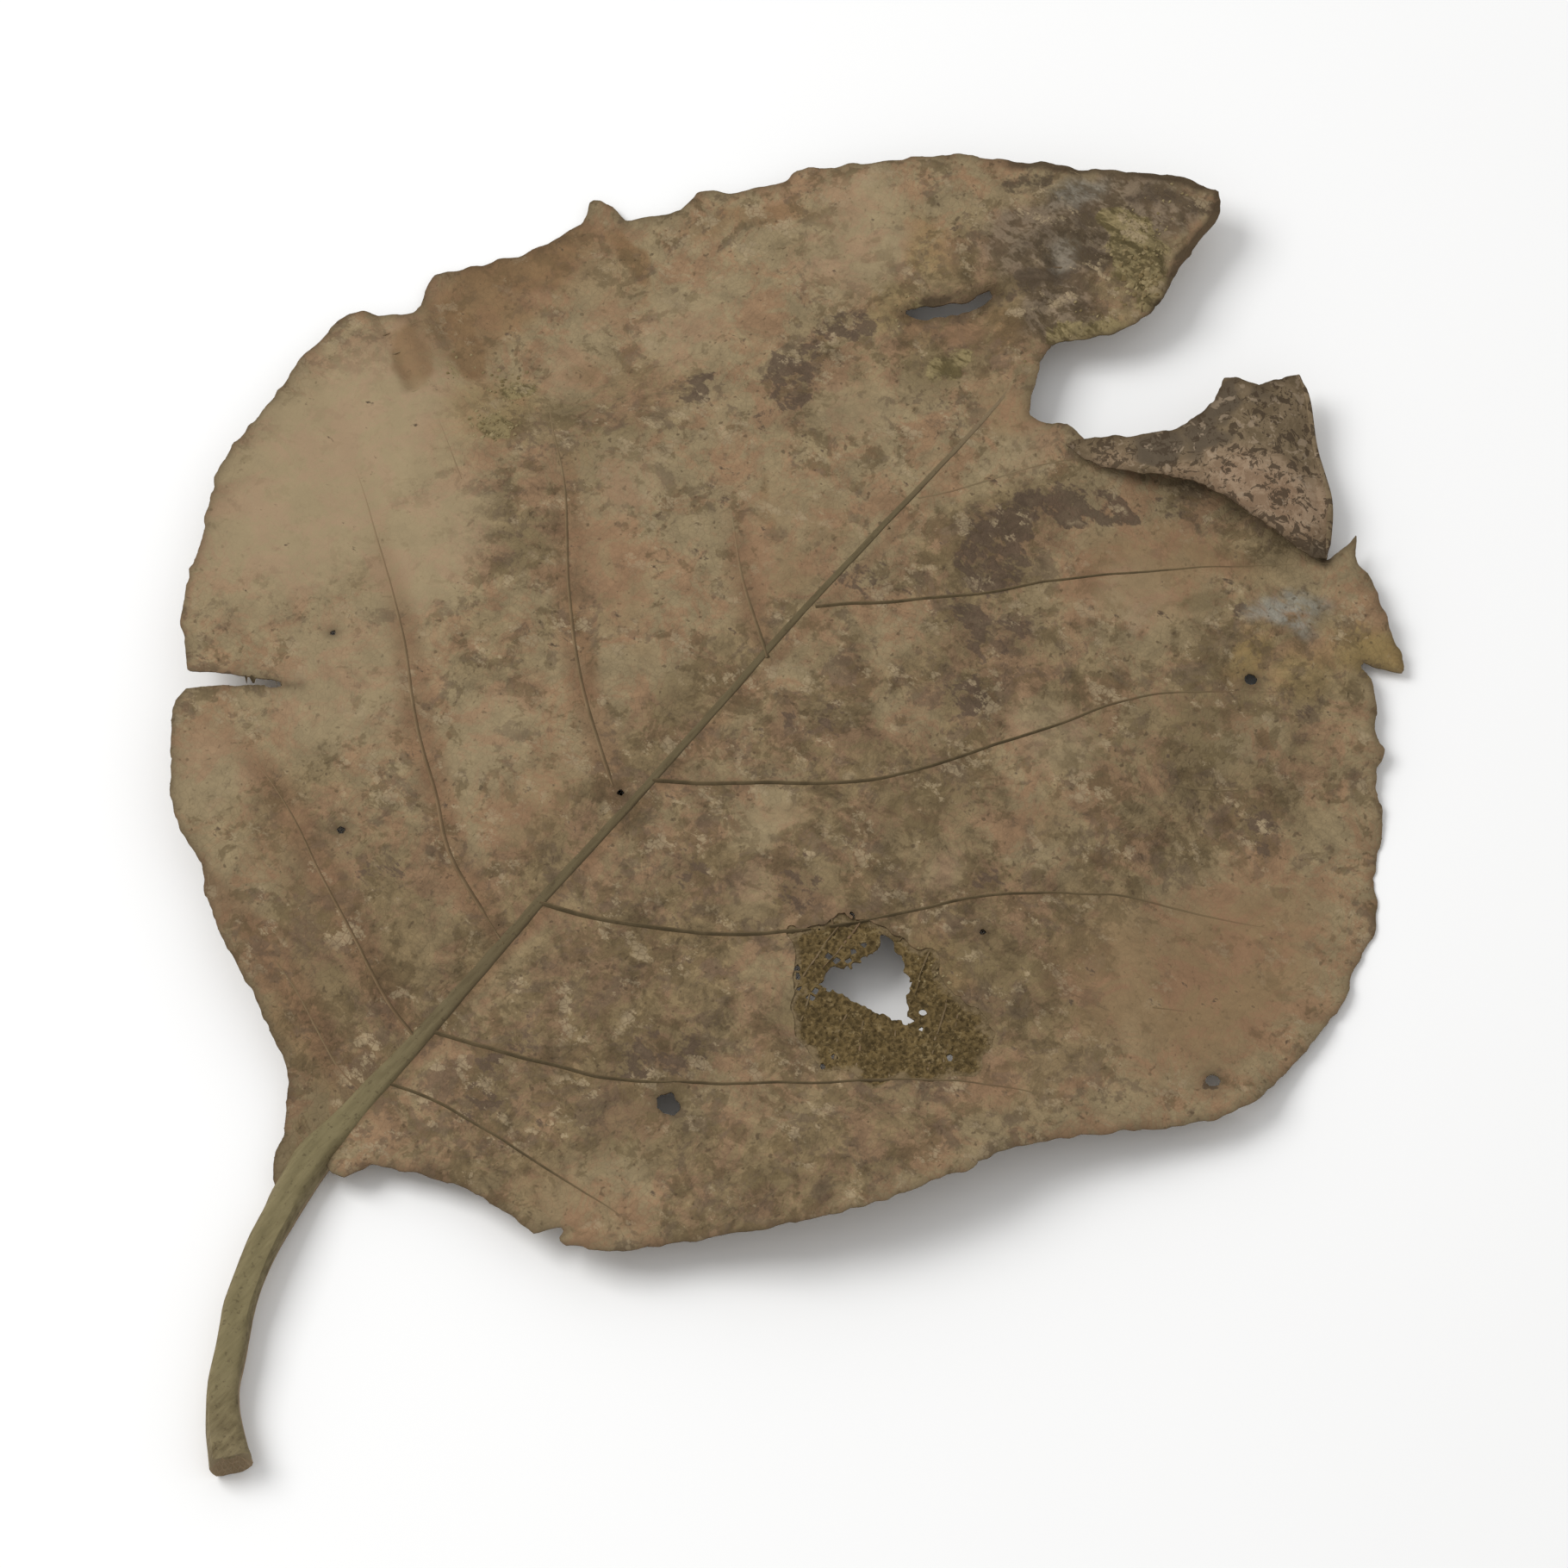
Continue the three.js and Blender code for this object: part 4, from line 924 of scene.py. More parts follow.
def folded_flap(materials):
    """The part of the tip that is folded over onto the blade."""
    fold = smooth_line(FOLD_LINE, LIP_STEP)

    def depth_at(x, y):
        loose = clamp(distance_to_line(x, y, fold) / FOLD_CALM, 0, 1)
        return depth_inside(x, y, FLAP_OUTLINE) + raggedness(x, y, FLAP_RAGGEDNESS) * loose

    places, triangles = clipped_grid(*grid_lines(FLAP_OUTLINE, 1, FLAP_SPACING), depth_at)
    x, y = places.T
    depth = depth_at(x, y)
    values = {name: blots(x, y, spots) for name, spots in FLAP_ZONE_SPOTS.items()}
    values["rim"] = np.exp(-np.maximum(depth, 0) / FLAP_RIM_WIDTH)
    height = flap_height(x, y)
    return sheet_object("folded_flap", places, triangles, height, edge_thickness(depth), values, materials)


def tube_points(centres, half_width, tops, bottoms, section):
    """Rings of a flattened tube along a level line: each ring reaches its own top and bottom height."""
    forward = np.gradient(centres[:, :2], axis=0)
    forward = forward / np.linalg.norm(forward, axis=1)[:, None]
    side = np.stack([forward[:, 1], -forward[:, 0]], 1)
    rings = []
    for across, up in section:
        place = centres[:, :2] + side * (half_width * across)[:, None]
        rings.append(np.column_stack([place, mix(bottoms, tops, (up + 1) / 2)]))
    return np.stack(rings, 1)


def tube_faces(rings, section, start):
    """Upper and lower faces of a closed tube whose points run ring by ring, with a fan on each end.

    A face is a lower one where the section's points on both its sides are below the middle."""
    sides = len(section)
    n, k = np.meshgrid(np.arange(rings - 1), np.arange(sides), indexing="ij")
    a = (n * sides + k).ravel()
    b = (n * sides + (k + 1) % sides).ravel()
    ups = np.array([up for _, up in section])
    lower = np.tile((ups < 0) & (np.roll(ups, -1) < 0), rings - 1)
    walls = np.stack([a, b, a + sides, b, b + sides, a + sides], 1) + start
    fan = np.arange(1, sides - 1)
    near_end = np.stack([np.zeros_like(fan), fan + 1, fan], 1)
    last = (rings - 1) * sides
    far_end = np.stack([np.full_like(fan, last), last + fan, last + fan + 1], 1)
    ends = np.concatenate([near_end, far_end]) + start
    return np.concatenate([walls[~lower].reshape(-1, 3), ends]), walls[lower].reshape(-1, 3)


def runs_of(kept, shortest):
    """Start and end of each unbroken run of kept places."""
    marks = np.concatenate([[0], kept.astype(int), [0]])
    starts = np.flatnonzero(np.diff(marks) == 1)
    ends = np.flatnonzero(np.diff(marks) == -1)
    return [(start, end) for start, end in zip(starts, ends) if end - start >= shortest]


def vein_mesh(name, lines, section, materials):
    """Ridges that stand out above and below the blade.

    Each line gives its places, width, rise, drop and faintness."""
    points = []
    upper = []
    lower = []
    faintness = []
    sides = len(section)
    start = 0
    for line, width, top, under, faint in lines:
        depth = clear_depth(*line.T)
        unbroken = clear_depth(*(line[1:] + line[:-1]).T / 2) > 0
        kept = (depth > VEIN_CLEARANCE) & np.append(unbroken, True) & np.append(True, unbroken)
        for first, end in runs_of(kept, SHORTEST_VEIN):
            run = slice(first, end)
            x, y = line[run].T
            taper = clamp(depth[run] / VEIN_TAPER, LEAST_TAPER, 1)
            middle = blade_height(x, y, depth[run])
            tops = middle + BLADE_THICKNESS / 2 + top[run] * taper
            drop = under[run] * taper * away_from_rest(x, y)
            bottoms = middle - BLADE_THICKNESS / 2 - drop - VEIN_OVERLAP
            rings = tube_points(line[run], width[run] * taper / 2, tops, bottoms, section)
            points.append(rings.reshape(-1, 3))
            upper_part, lower_part = tube_faces(end - first, section, start)
            upper.append(upper_part)
            lower.append(lower_part)
            start += (end - first) * sides
            faintness.append(np.repeat(faint[run], sides))
    points = np.concatenate(points)
    x, y, _ = points.T
    values = colour_zones(x, y, np.full(len(points), FAR_INSIDE))
    # Painted shade: the upper points on the side that faces -Y, away from the light, are marked to take a
    # darker colour
    shaded = [1.0 if across > -0.1 and up > 0 else 0.0 for across, up in section]
    values["shaded"] = np.tile(shaded, len(points) // sides)
    values["left_half"] = smooth_step(*HALF_BLEND, y)
    values["faint"] = np.concatenate(faintness)
    return mesh_object(name, points, np.concatenate(upper), np.concatenate(lower), values, materials)


def vein_size(size, strength, share):
    """Width or height at a share of a side vein's length."""
    least, growth, loss = size
    return (least + growth * strength) * (1 - loss * share)


def side_veins(materials):
    """Narrow ridges above and wide ribs below."""
    section = [
        (1.0, -0.55), (0.45, 0.3), (0.32, 0.8), (0.12, 0.97), (-0.02, 1), (-0.14, 0.97), (-0.3, 0.8),
        (-0.4, 0.3), (-1.0, -0.55), (-0.7, -0.9), (0, -1), (0.7, -0.9),
    ]
    lines = []
    for rib, path in VEINS + BRANCH_VEINS:
        line = smooth_line(path, SIDE_VEIN_STEP)
        x, y = line.T
        share = np.linspace(0, 1, len(line))
        wander = raggedness(x, y, SIDE_VEIN_WANDER)[:, None]
        width = vein_size(SIDE_VEIN_WIDTH, rib, share)
        top = vein_size(SIDE_VEIN_TOP, rib, share)
        under = vein_size(SIDE_VEIN_UNDER, rib, share) + LEAST_UNDER
        on_left = y > MIDRIB_Y
        fading = np.maximum(smooth_step(*FAINT_ALONG, share), on_left * smooth_step(*FAINT_BEYOND, x))
        least = FAINTNESS_OF_FAINT_RIB if rib <= FAINT_RIB else FAINTNESS_OF_LEFT * on_left
        faint = clamp(FAINTNESS_OF_END * fading + least, 0, FAINTEST)
        lines.append((line + wander, width, top * (1 - faint) - FAINT_SINK * faint ** 4, under, faint))
    return vein_mesh("side_veins", lines, section, materials)


def ladder_veins(materials):
    """Fine veins that join neighbouring side veins like the rungs of a ladder."""
    section = [(1, -0.5), (0.45, 0.8), (-0.45, 0.8), (-1, -0.5), (0, -1)]
    left = [LEFT_BASE_BOUND] + [path for _, path in LEFT_VEINS] + LEFT_TIP_BOUNDS
    right = [RIGHT_BASE_BOUND] + [path for _, path in RIGHT_VEINS] + RIGHT_TIP_BOUNDS
    lines = []
    for half, paths in enumerate((left, right)):
        for panel, (inner_path, outer_path) in enumerate(zip(paths, paths[1:])):
            inner = smooth_line(inner_path, 1)
            outer = smooth_line(outer_path, 1)
            length = max(len(inner), len(outer))
            slant = RUNG_SLANT * (outer_path[0][0] - inner_path[0][0]) / length
            for rung in range(1, int(length / RUNG_SPACING)):
                jitter = RUNG_JITTER * (lattice_random(rung, panel, 110 + half) - 0.5)
                share = (rung + jitter) * RUNG_SPACING / length
                if RUNG_START < share - slant < 1 and share < 1:
                    lines.append(rung_line(inner, outer, share, share - slant))
    return vein_mesh("ladder_veins", lines, section, materials)


def rung_line(inner, outer, inner_share, outer_share):
    """One rung between a place along the inner vein and one along the outer vein, a little bowed."""
    start = inner[round(inner_share * (len(inner) - 1))]
    end = outer[round(outer_share * (len(outer) - 1))]
    length = np.linalg.norm(end - start)
    share = np.linspace(0, 1, max(5, round(length / RUNG_STEP)))
    line = start + (end - start) * share[:, None]
    across = np.array([start[1] - end[1], end[0] - start[0]]) / max(length, TINY)
    bow = (RUNG_BOW * length + raggedness(*line.T, RUNG_WANDER)) * np.sin(np.pi * share)
    line = line + across * bow[:, None]
    fade = mix(RUNG_MIDDLE, 1, np.abs(1 - 2 * share))
    sunk = RUNG_PATCH_SINK * smooth_step(*RUNG_SINK_GROWTH, patch_depth(*line.T))
    return line, RUNG_WIDTH * fade, RUNG_TOP * fade - sunk, RUNG_UNDER * fade, np.zeros(len(line))


def stalk_and_midrib(materials):
    """The ridged stalk, which goes on under the blade as its tapering midrib."""
    stations = [(*station, 0) for station in STALK_LINE]
    for x, y, radius, proud in MIDRIB_LINE:
        height = float(blade_height(np.array([x]), np.array([y]))[0])
        stations.append((x, y, height + BLADE_THICKNESS / 2 + proud - radius, radius, height))
    line = smooth_line(np.array(stations), TUBE_STEP)
    centres = line[:, :3].copy()
    x, y, _ = centres.T
    on_blade = smooth_step(MIDRIB_LINE[0][0], MIDRIB_LINE[1][0], x)
    centres[:, 2] += on_blade * (blade_height(x, y, ragged_depth(x, y)) - line[:, 4])
    forward = np.gradient(centres, axis=0)
    forward = forward / np.linalg.norm(forward, axis=1)[:, None]
    side = np.cross([0, 0, 1], forward)
    side = side / np.linalg.norm(side, axis=1)[:, None]
    up = np.cross(forward, side)
    turns = 2 * np.pi * np.arange(TUBE_SIDES) / TUBE_SIDES
    on_stalk = 1 - smooth_step(*STALK_FADE, x)
    rings = []
    for turn in turns:
        square = 1 + SQUARENESS * math.cos(4 * turn + math.pi)
        channel = CHANNEL_DEPTH * math.exp(-((turn - math.pi / 2) / CHANNEL_WIDTH) ** 2)
        ridges = RIDGE_HEIGHT * np.sin(RIDGE_COUNT * turn + RIDGE_TWIST * x) * on_stalk
        pits = PIT_DEPTH * soft_noise(x, np.full(len(x), PIT_REACH * turn), PIT_SIZE, 131) * on_stalk
        channel = channel * mix(CHANNEL_ON_BLADE, 1, on_stalk)
        radius = (line[:, 3] * (square - channel + ridges + pits))[:, None]
        rings.append(centres + side * radius * math.cos(turn) + up * radius * math.sin(turn))
    rings = np.stack(rings, 1)
    rings[..., 2] = np.maximum(rings[..., 2], FLOOR_GAP)
    middle = rings[0].mean(0)
    fibres = CUT_FIBRES * (lattice_random(np.arange(TUBE_SIDES), 0, 141)[:, None] - 0.5)
    cut = [middle + (rings[0] - middle) * reach + forward[0] * depth for reach, depth in CUT_RINGS]
    cut[1] = cut[1] + fibres
    rings = np.concatenate([np.stack(cut), rings])
    section = [(math.cos(turn), math.sin(turn) - WIDEST_BELOW) for turn in turns]
    upper, lower = tube_faces(len(rings), section, 0)
    along = np.concatenate([[x[0]] * len(cut), x])
    values = {
        "green": smooth_step(*GREEN_GROWTH, along) * (1 - smooth_step(*GREEN_FADE, along)),
        "blade": smooth_step(*MIDRIB_GROWTH, along),
        "far": smooth_step(*FAR_GROWTH, along),
        "cut": np.concatenate([CUT_COLOUR, np.zeros(len(x))]),
    }
    values = {key: np.repeat(numbers, TUBE_SIDES) for key, numbers in values.items()}
    values["above"] = np.tile(np.maximum(np.sin(turns), 0), len(rings))
    # Painted shade: the side of the tube that faces -Y, away from the light, is marked to be darker along the
    # midrib
    values["shaded"] = np.tile(np.maximum(-np.cos(turns), 0), len(rings))
    return mesh_object("stalk_and_midrib", rings.reshape(-1, 3), upper, lower, values, materials)


def fold_roll(materials):
    """The bend along which the flap turns over."""
    line = smooth_line(FOLD_LINE, FOLD_STEP)
    x, y = line.T
    turns = 2 * math.pi * np.arange(FOLD_SIDES) / FOLD_SIDES
    section = [(math.cos(turn), math.sin(turn)) for turn in turns]
    low = blade_height(x, y, ragged_margin(x, y)) - BLADE_THICKNESS / 2
    high = flap_height(x, y) + BLADE_THICKNESS / 2
    places_from_end = np.minimum(np.arange(len(x)), np.arange(len(x))[::-1])
    half_width = FOLD_HALF_WIDTH * clamp(places_from_end / FOLD_TAPER, 0.2, 1)
    points = tube_points(line, half_width, high, low, section).reshape(-1, 3)
    values = {key: np.zeros(len(points)) for key in ("speckle", "shade", "pink", "rim")}
    upper, lower = tube_faces(len(line), section, 0)
    return mesh_object("fold_roll", points, upper, lower, values, materials)


# Clusters of crust crumbs: place, spread along and across, count and largest size
CRUMB_CLUSTERS = [
    (107, 56, 3.0, 3.2, 80, 0.42), (115, 59.5, 2.6, 3.2, 50, 0.42), (112, 68, 2.2, 2.6, 14, 0.3),
    (185, -4, 3.0, 2.2, 70, 0.6), (189.5, -1, 5, 4, 60, 0.4), (174, -3, 6, 3, 40, 0.35),
    (160, 21, 3, 2.5, 26, 0.35), (74, -50, 2.5, 4, 26, 0.3), (196, 3, 5, 3, 26, 0.35),
]
CRUMB_SPREAD = 0.6
CRUMB_SIZES = (0.35, 1)
CRUMB_SIZE_POWER = 1.5
CRUMB_LUMPS = 0.22
CRUMB_WIDTHS = (0.6, 1)
CRUMB_FLATNESS = 0.45
CRUMB_CLEARANCE = 0.8
LONGEST_BALL_SIDE = 1.1


def crust_crumbs(materials):
    """Small flattened lumps of dried crust, sunk into the blade."""
    points, faces = round_form()
    random = np.random.default_rng(5)
    all_points = []
    all_faces = []
    tones = []
    for centre_x, centre_y, spread_x, spread_y, count, largest in CRUMB_CLUSTERS:
        x = centre_x + spread_x * random.normal(0, CRUMB_SPREAD, count)
        y = centre_y + spread_y * random.normal(0, CRUMB_SPREAD, count)
        size = largest * random.uniform(*CRUMB_SIZES, count) ** CRUMB_SIZE_POWER
        depth = ragged_depth(x, y)
        height = blade_height(x, y, depth) + BLADE_THICKNESS / 2
        for k in np.flatnonzero(depth > CRUMB_CLEARANCE):
            lumps = 1 + CRUMB_LUMPS * random.normal(0, 1, len(points))
            stretch = size[k] * np.array([1, random.uniform(*CRUMB_WIDTHS), CRUMB_FLATNESS])
            all_faces.append(faces + len(points) * len(all_points))
            all_points.append(points * lumps[:, None] * stretch + [x[k], y[k], height[k]])
            tones.append(np.full(len(points), random.uniform(0, 1)))
    all_points = np.concatenate(all_points)
    all_faces = np.concatenate(all_faces)
    values = {"tone": np.concatenate(tones)}
    return mesh_object("crust_crumbs", all_points, all_faces, all_faces[:0], values, materials)


def round_form():
    """Points and triangles of a rough ball of radius 1."""
    ratio = (1 + math.sqrt(5)) / 2
    points = []
    for a in (-1, 1):
        for b in (-ratio, ratio):
            points += [(a, b, 0), (0, a, b), (b, 0, a)]
    points = np.array(points) / math.hypot(1, ratio)
    faces = []
    for i in range(12):
        for j in range(i + 1, 12):
            for k in range(j + 1, 12):
                sides = [np.linalg.norm(points[p] - points[q]) for p, q in ((i, j), (j, k), (k, i))]
                if max(sides) < LONGEST_BALL_SIDE:
                    normal = np.cross(points[j] - points[i], points[k] - points[i])
                    faces.append((i, j, k) if normal @ points[i] > 0 else (i, k, j))
    return points, np.array(faces)


# Colours, as linear red, green and blue; tones are a pair between which a noise chooses
LEAF_TONE = (0.94, 0.91, 0.85)
SHEEN = 0.15
LIGHT_TONES = ((0.262, 0.207, 0.124), (0.266, 0.172, 0.102))
DULL_TONES = ((0.196, 0.146, 0.080), (0.208, 0.136, 0.082))
PINK_TONES = ((0.238, 0.160, 0.088), (0.252, 0.154, 0.091))
CREAM_TONES = ((0.325, 0.258, 0.160), (0.346, 0.254, 0.166))
YELLOW_STAIN = (0.262, 0.188, 0.078)
# Brown colour of the blade, partly painted shade in its pleats and creases
BROWN_AND_CREASE_SHADE = (0.190, 0.115, 0.057)
VEIN_HALO = (0.190, 0.113, 0.065)
FILM_TONES = ((0.108, 0.078, 0.041), (0.114, 0.082, 0.057))
OLIVE_FILM = (0.120, 0.094, 0.048)
PURPLE_FILM = (0.077, 0.054, 0.039)
TIP_TONES = ((0.092, 0.068, 0.043), (0.172, 0.134, 0.096))
DARK_TIP = (0.058, 0.042, 0.028)
CRUST_TONES = ((0.108, 0.086, 0.038), (0.222, 0.180, 0.092))
PALE_BLOOM = (0.235, 0.238, 0.215)
FLAKE = (0.310, 0.246, 0.160)
SPECK = (0.070, 0.048, 0.028)
RIM = (0.062, 0.043, 0.025)
NET_LINE = (0.085, 0.058, 0.034)
FELT_TONES = ((0.205, 0.148, 0.086), (0.300, 0.226, 0.142))
FELT_NET = (0.36, 0.28, 0.18)
FELT_RIBS = (0.33, 0.24, 0.145)
FELT_HAIRS = (0.40, 0.33, 0.24)
VEIN_TONES = ((0.118, 0.085, 0.045), (0.165, 0.122, 0.068))
LEFT_VEIN_TONES = ((0.150, 0.098, 0.053), (0.205, 0.142, 0.082))
CREAM_VEIN = (0.290, 0.210, 0.130)
# Painted shade for the side of the side veins that faces away from the light
VEIN_PAINTED_SHADE_TONES = ((0.056, 0.042, 0.021), (0.092, 0.068, 0.035))
LEFT_VEIN_PAINTED_SHADE_TONES = ((0.088, 0.060, 0.031), (0.130, 0.088, 0.048))
CREAM_VEIN_PAINTED_SHADE = (0.205, 0.135, 0.078)
# The same brown and painted crease shade on the fine veins
RUNG_BROWN_AND_CREASE_SHADE = (0.175, 0.106, 0.053)
RUNG_FILM = (0.112, 0.081, 0.043)
RUNG_RUBBED = (0.290, 0.222, 0.138)
RUNG_TIP = (0.118, 0.087, 0.055)
RUNG_PURPLE = (0.090, 0.065, 0.044)
RUNG_SHADE = (0.08, 0.05, 0.025)
SKIN_TONES = ((0.080, 0.056, 0.022), (0.140, 0.098, 0.040))
STRAND_TONES = ((0.100, 0.070, 0.029), (0.160, 0.113, 0.048))
PATCH_SPECK = (0.040, 0.027, 0.010)
PATCH_LIGHT = (0.250, 0.190, 0.098)
PATCH_EDGE_TONES = ((0.118, 0.086, 0.045), (0.200, 0.150, 0.086))
FLAP_TONES = ((0.150, 0.112, 0.068), (0.212, 0.160, 0.102))
FLAP_PINK_TONES = ((0.250, 0.170, 0.112), (0.345, 0.252, 0.175))
FLAP_SHADE = (0.086, 0.068, 0.050)
FLAP_SPECKLE = (0.060, 0.042, 0.027)
FLAP_LIGHT = (0.38, 0.30, 0.22)
FLAP_RIM = (0.06, 0.04, 0.022)
STALK_TONES = ((0.104, 0.078, 0.040), (0.205, 0.165, 0.088))
STALK_LIGHT = (0.235, 0.192, 0.108)
STALK_GREEN = (0.196, 0.166, 0.082)
MIDRIB_TONES = ((0.092, 0.069, 0.034), (0.190, 0.138, 0.080))
# Painted shade for the midrib's side that faces away from the light
MIDRIB_PAINTED_SHADE = (0.055, 0.036, 0.019)
STALK_CUT = (0.215, 0.165, 0.098)
STALK_SPECK = (0.055, 0.037, 0.02)
CRUMB_TONES = ((0.155, 0.112, 0.048), (0.330, 0.262, 0.140))
CRUMB_SHADE = (0.12, 0.085, 0.04)


class Value:
    """What a shader node gives: a number or colour over a surface, for use in sums and products."""

    def __init__(self, shader, socket):
        self.shader = shader
        self.socket = socket

    def __add__(self, other):
        return self.shader.math("ADD", self, other)

    def __sub__(self, other):
        return self.shader.math("SUBTRACT", self, other)

    def __rsub__(self, other):
        return self.shader.math("SUBTRACT", other, self)

    def __mul__(self, other):
        return self.shader.math("MULTIPLY", self, other)

    __radd__ = __add__
    __rmul__ = __mul__


class Shader:
    """A procedural material: short methods that add a node, join it and give its output."""

    def __init__(self, name):
        self.material = bpy.data.materials.new(name)
        self.material.use_nodes = True
        self.tree = self.material.node_tree
        self.place = self.scaled(self.node("TexCoord", "Object", {}), 1 / METRES)

    def put(self, socket, value):
        if isinstance(value, Value):
            self.tree.links.new(value.socket, socket)
        elif isinstance(value, tuple):
            socket.default_value = (*value, 1) if len(socket.default_value) == 4 else value
        else:
            socket.default_value = value

    def node(self, kind, output, inputs, **settings):
        """Add a node with its settings and its inputs, by name or number, and give one of its outputs."""
        node = self.tree.nodes.new("ShaderNode" + kind)
        for name, setting in settings.items():
            setattr(node, name, setting)
        for key, value in inputs.items():
            self.put(node.inputs[key], value)
        return Value(self, node.outputs[output])

    def mask(self, name):
        return self.node("Attribute", "Fac", {}, attribute_name=name)

    def math(self, operation, a, b):
        return self.node("Math", "Value", {0: a, 1: b}, operation=operation)

    def step(self, low, high, value):
        """0 where the value is low, 1 where it is high, with a smooth change between."""
        inputs = {"Value": value, "From Min": low, "From Max": high}
        return self.node("MapRange", "Result", inputs, interpolation_type="SMOOTHSTEP")

    def blend(self, amount, a, b):
        return self.node("Mix", "Result", {"Factor": amount, "A": a, "B": b}, data_type="RGBA")

    def layered(self, colour, layers):
        """A colour under layers, from the lowest up: where each one is, its strength and its colour."""
        for where, strength, layer_colour in layers:
            colour = self.blend(where * strength, colour, layer_colour)
        return colour

    def scaled(self, vector, factor):
        """A place moved away from the origin, or a colour made lighter or darker, by a factor."""
        return self.node("VectorMath", "Vector", {0: vector, "Scale": factor}, operation="SCALE")

    def stretched(self, vector, factors):
        return self.node("VectorMath", "Vector", {0: vector, 1: factors}, operation="MULTIPLY")

    def toned(self, colour):
        """A leaf colour, a little deeper, since the sheen of the matt surface lightens it again."""
        return self.stretched(colour, LEAF_TONE)

    def noise(self, size, detail=2.0, roughness=0.5, stretch=(1, 1, 1), swirl=0.0):
        """Noise from 0 to 1 whose bumps are about size millimetres wide."""
        place = self.stretched(self.place, tuple(part / size for part in stretch))
        inputs = {"Vector": place, "Scale": 1, "Detail": detail, "Roughness": roughness, "Distortion": swirl}
        return self.node("TexNoise", "Fac", inputs)

    def net_line(self, size, low, high):
        """1 on the borders of uneven net cells about size millimetres wide, 0 inside them."""
        inputs = {"Vector": self.place, "Scale": 1 / size, "Randomness": 0.9}
        settings = {"feature": "DISTANCE_TO_EDGE", "voronoi_dimensions": "2D"}
        return 1 - self.step(low, high, self.node("TexVoronoi", "Distance", inputs, **settings))

    def finish(self, colour, roughness, height, depth, strength):
        """The material with its colour, its roughness and a bump of depth millimetres."""
        inputs = {"Strength": strength, "Distance": depth * METRES, "Height": height}
        bump = self.node("Bump", "Normal", inputs)
        inputs = {"Base Color": colour, "Roughness": roughness, "Specular IOR Level": SHEEN, "Normal": bump}
        for name, value in inputs.items():
            self.put(self.tree.nodes["Principled BSDF"].inputs[name], value)
        return self.material


def underside_material(name, net_size, light):
    """The felted underside: pale, with a fine raised net; light is the colour of its raised parts."""
    s = Shader(name)
    line = s.net_line(net_size, 0.02, 0.16)
    felt = s.noise(0.35, 3, 0.7)
    colour = s.blend(s.step(0.35, 0.65, s.noise(9, 5, 0.65)), *FELT_TONES)
    colour = s.layered(colour, [(line, 0.4, light), (s.step(0.45, 0.75, felt), 0.25, FELT_HAIRS)])
    return s.finish(colour, 0.9, line * 0.8 + felt * 0.6, 0.12, 0.6)


def film_level(s):
    """Ragged, multi-scale mottling: higher where the dark film is thicker."""
    wide = s.noise(8, 4.5, 0.66, swirl=0.9)
    ragged = s.noise(2.7, 3, 0.72, swirl=0.4)
    return wide * 0.5 + ragged * 0.5 + s.mask("film") * 0.06


def ground_colour(s):
    """The blade's own colours, under the film: tan, duller under the film, with cream and pink stretches."""
    rosy = s.step(0.44, 0.60, s.noise(7, 5, 0.76, swirl=0.5))
    colour = s.blend(s.mask("film"), s.blend(rosy, *LIGHT_TONES), s.blend(rosy, *DULL_TONES))
    return s.layered(colour, [
        (s.mask("pink"), 0.85, s.blend(rosy, *PINK_TONES)),
        (s.mask("cream"), 0.95, s.blend(rosy, *CREAM_TONES)),
    ])


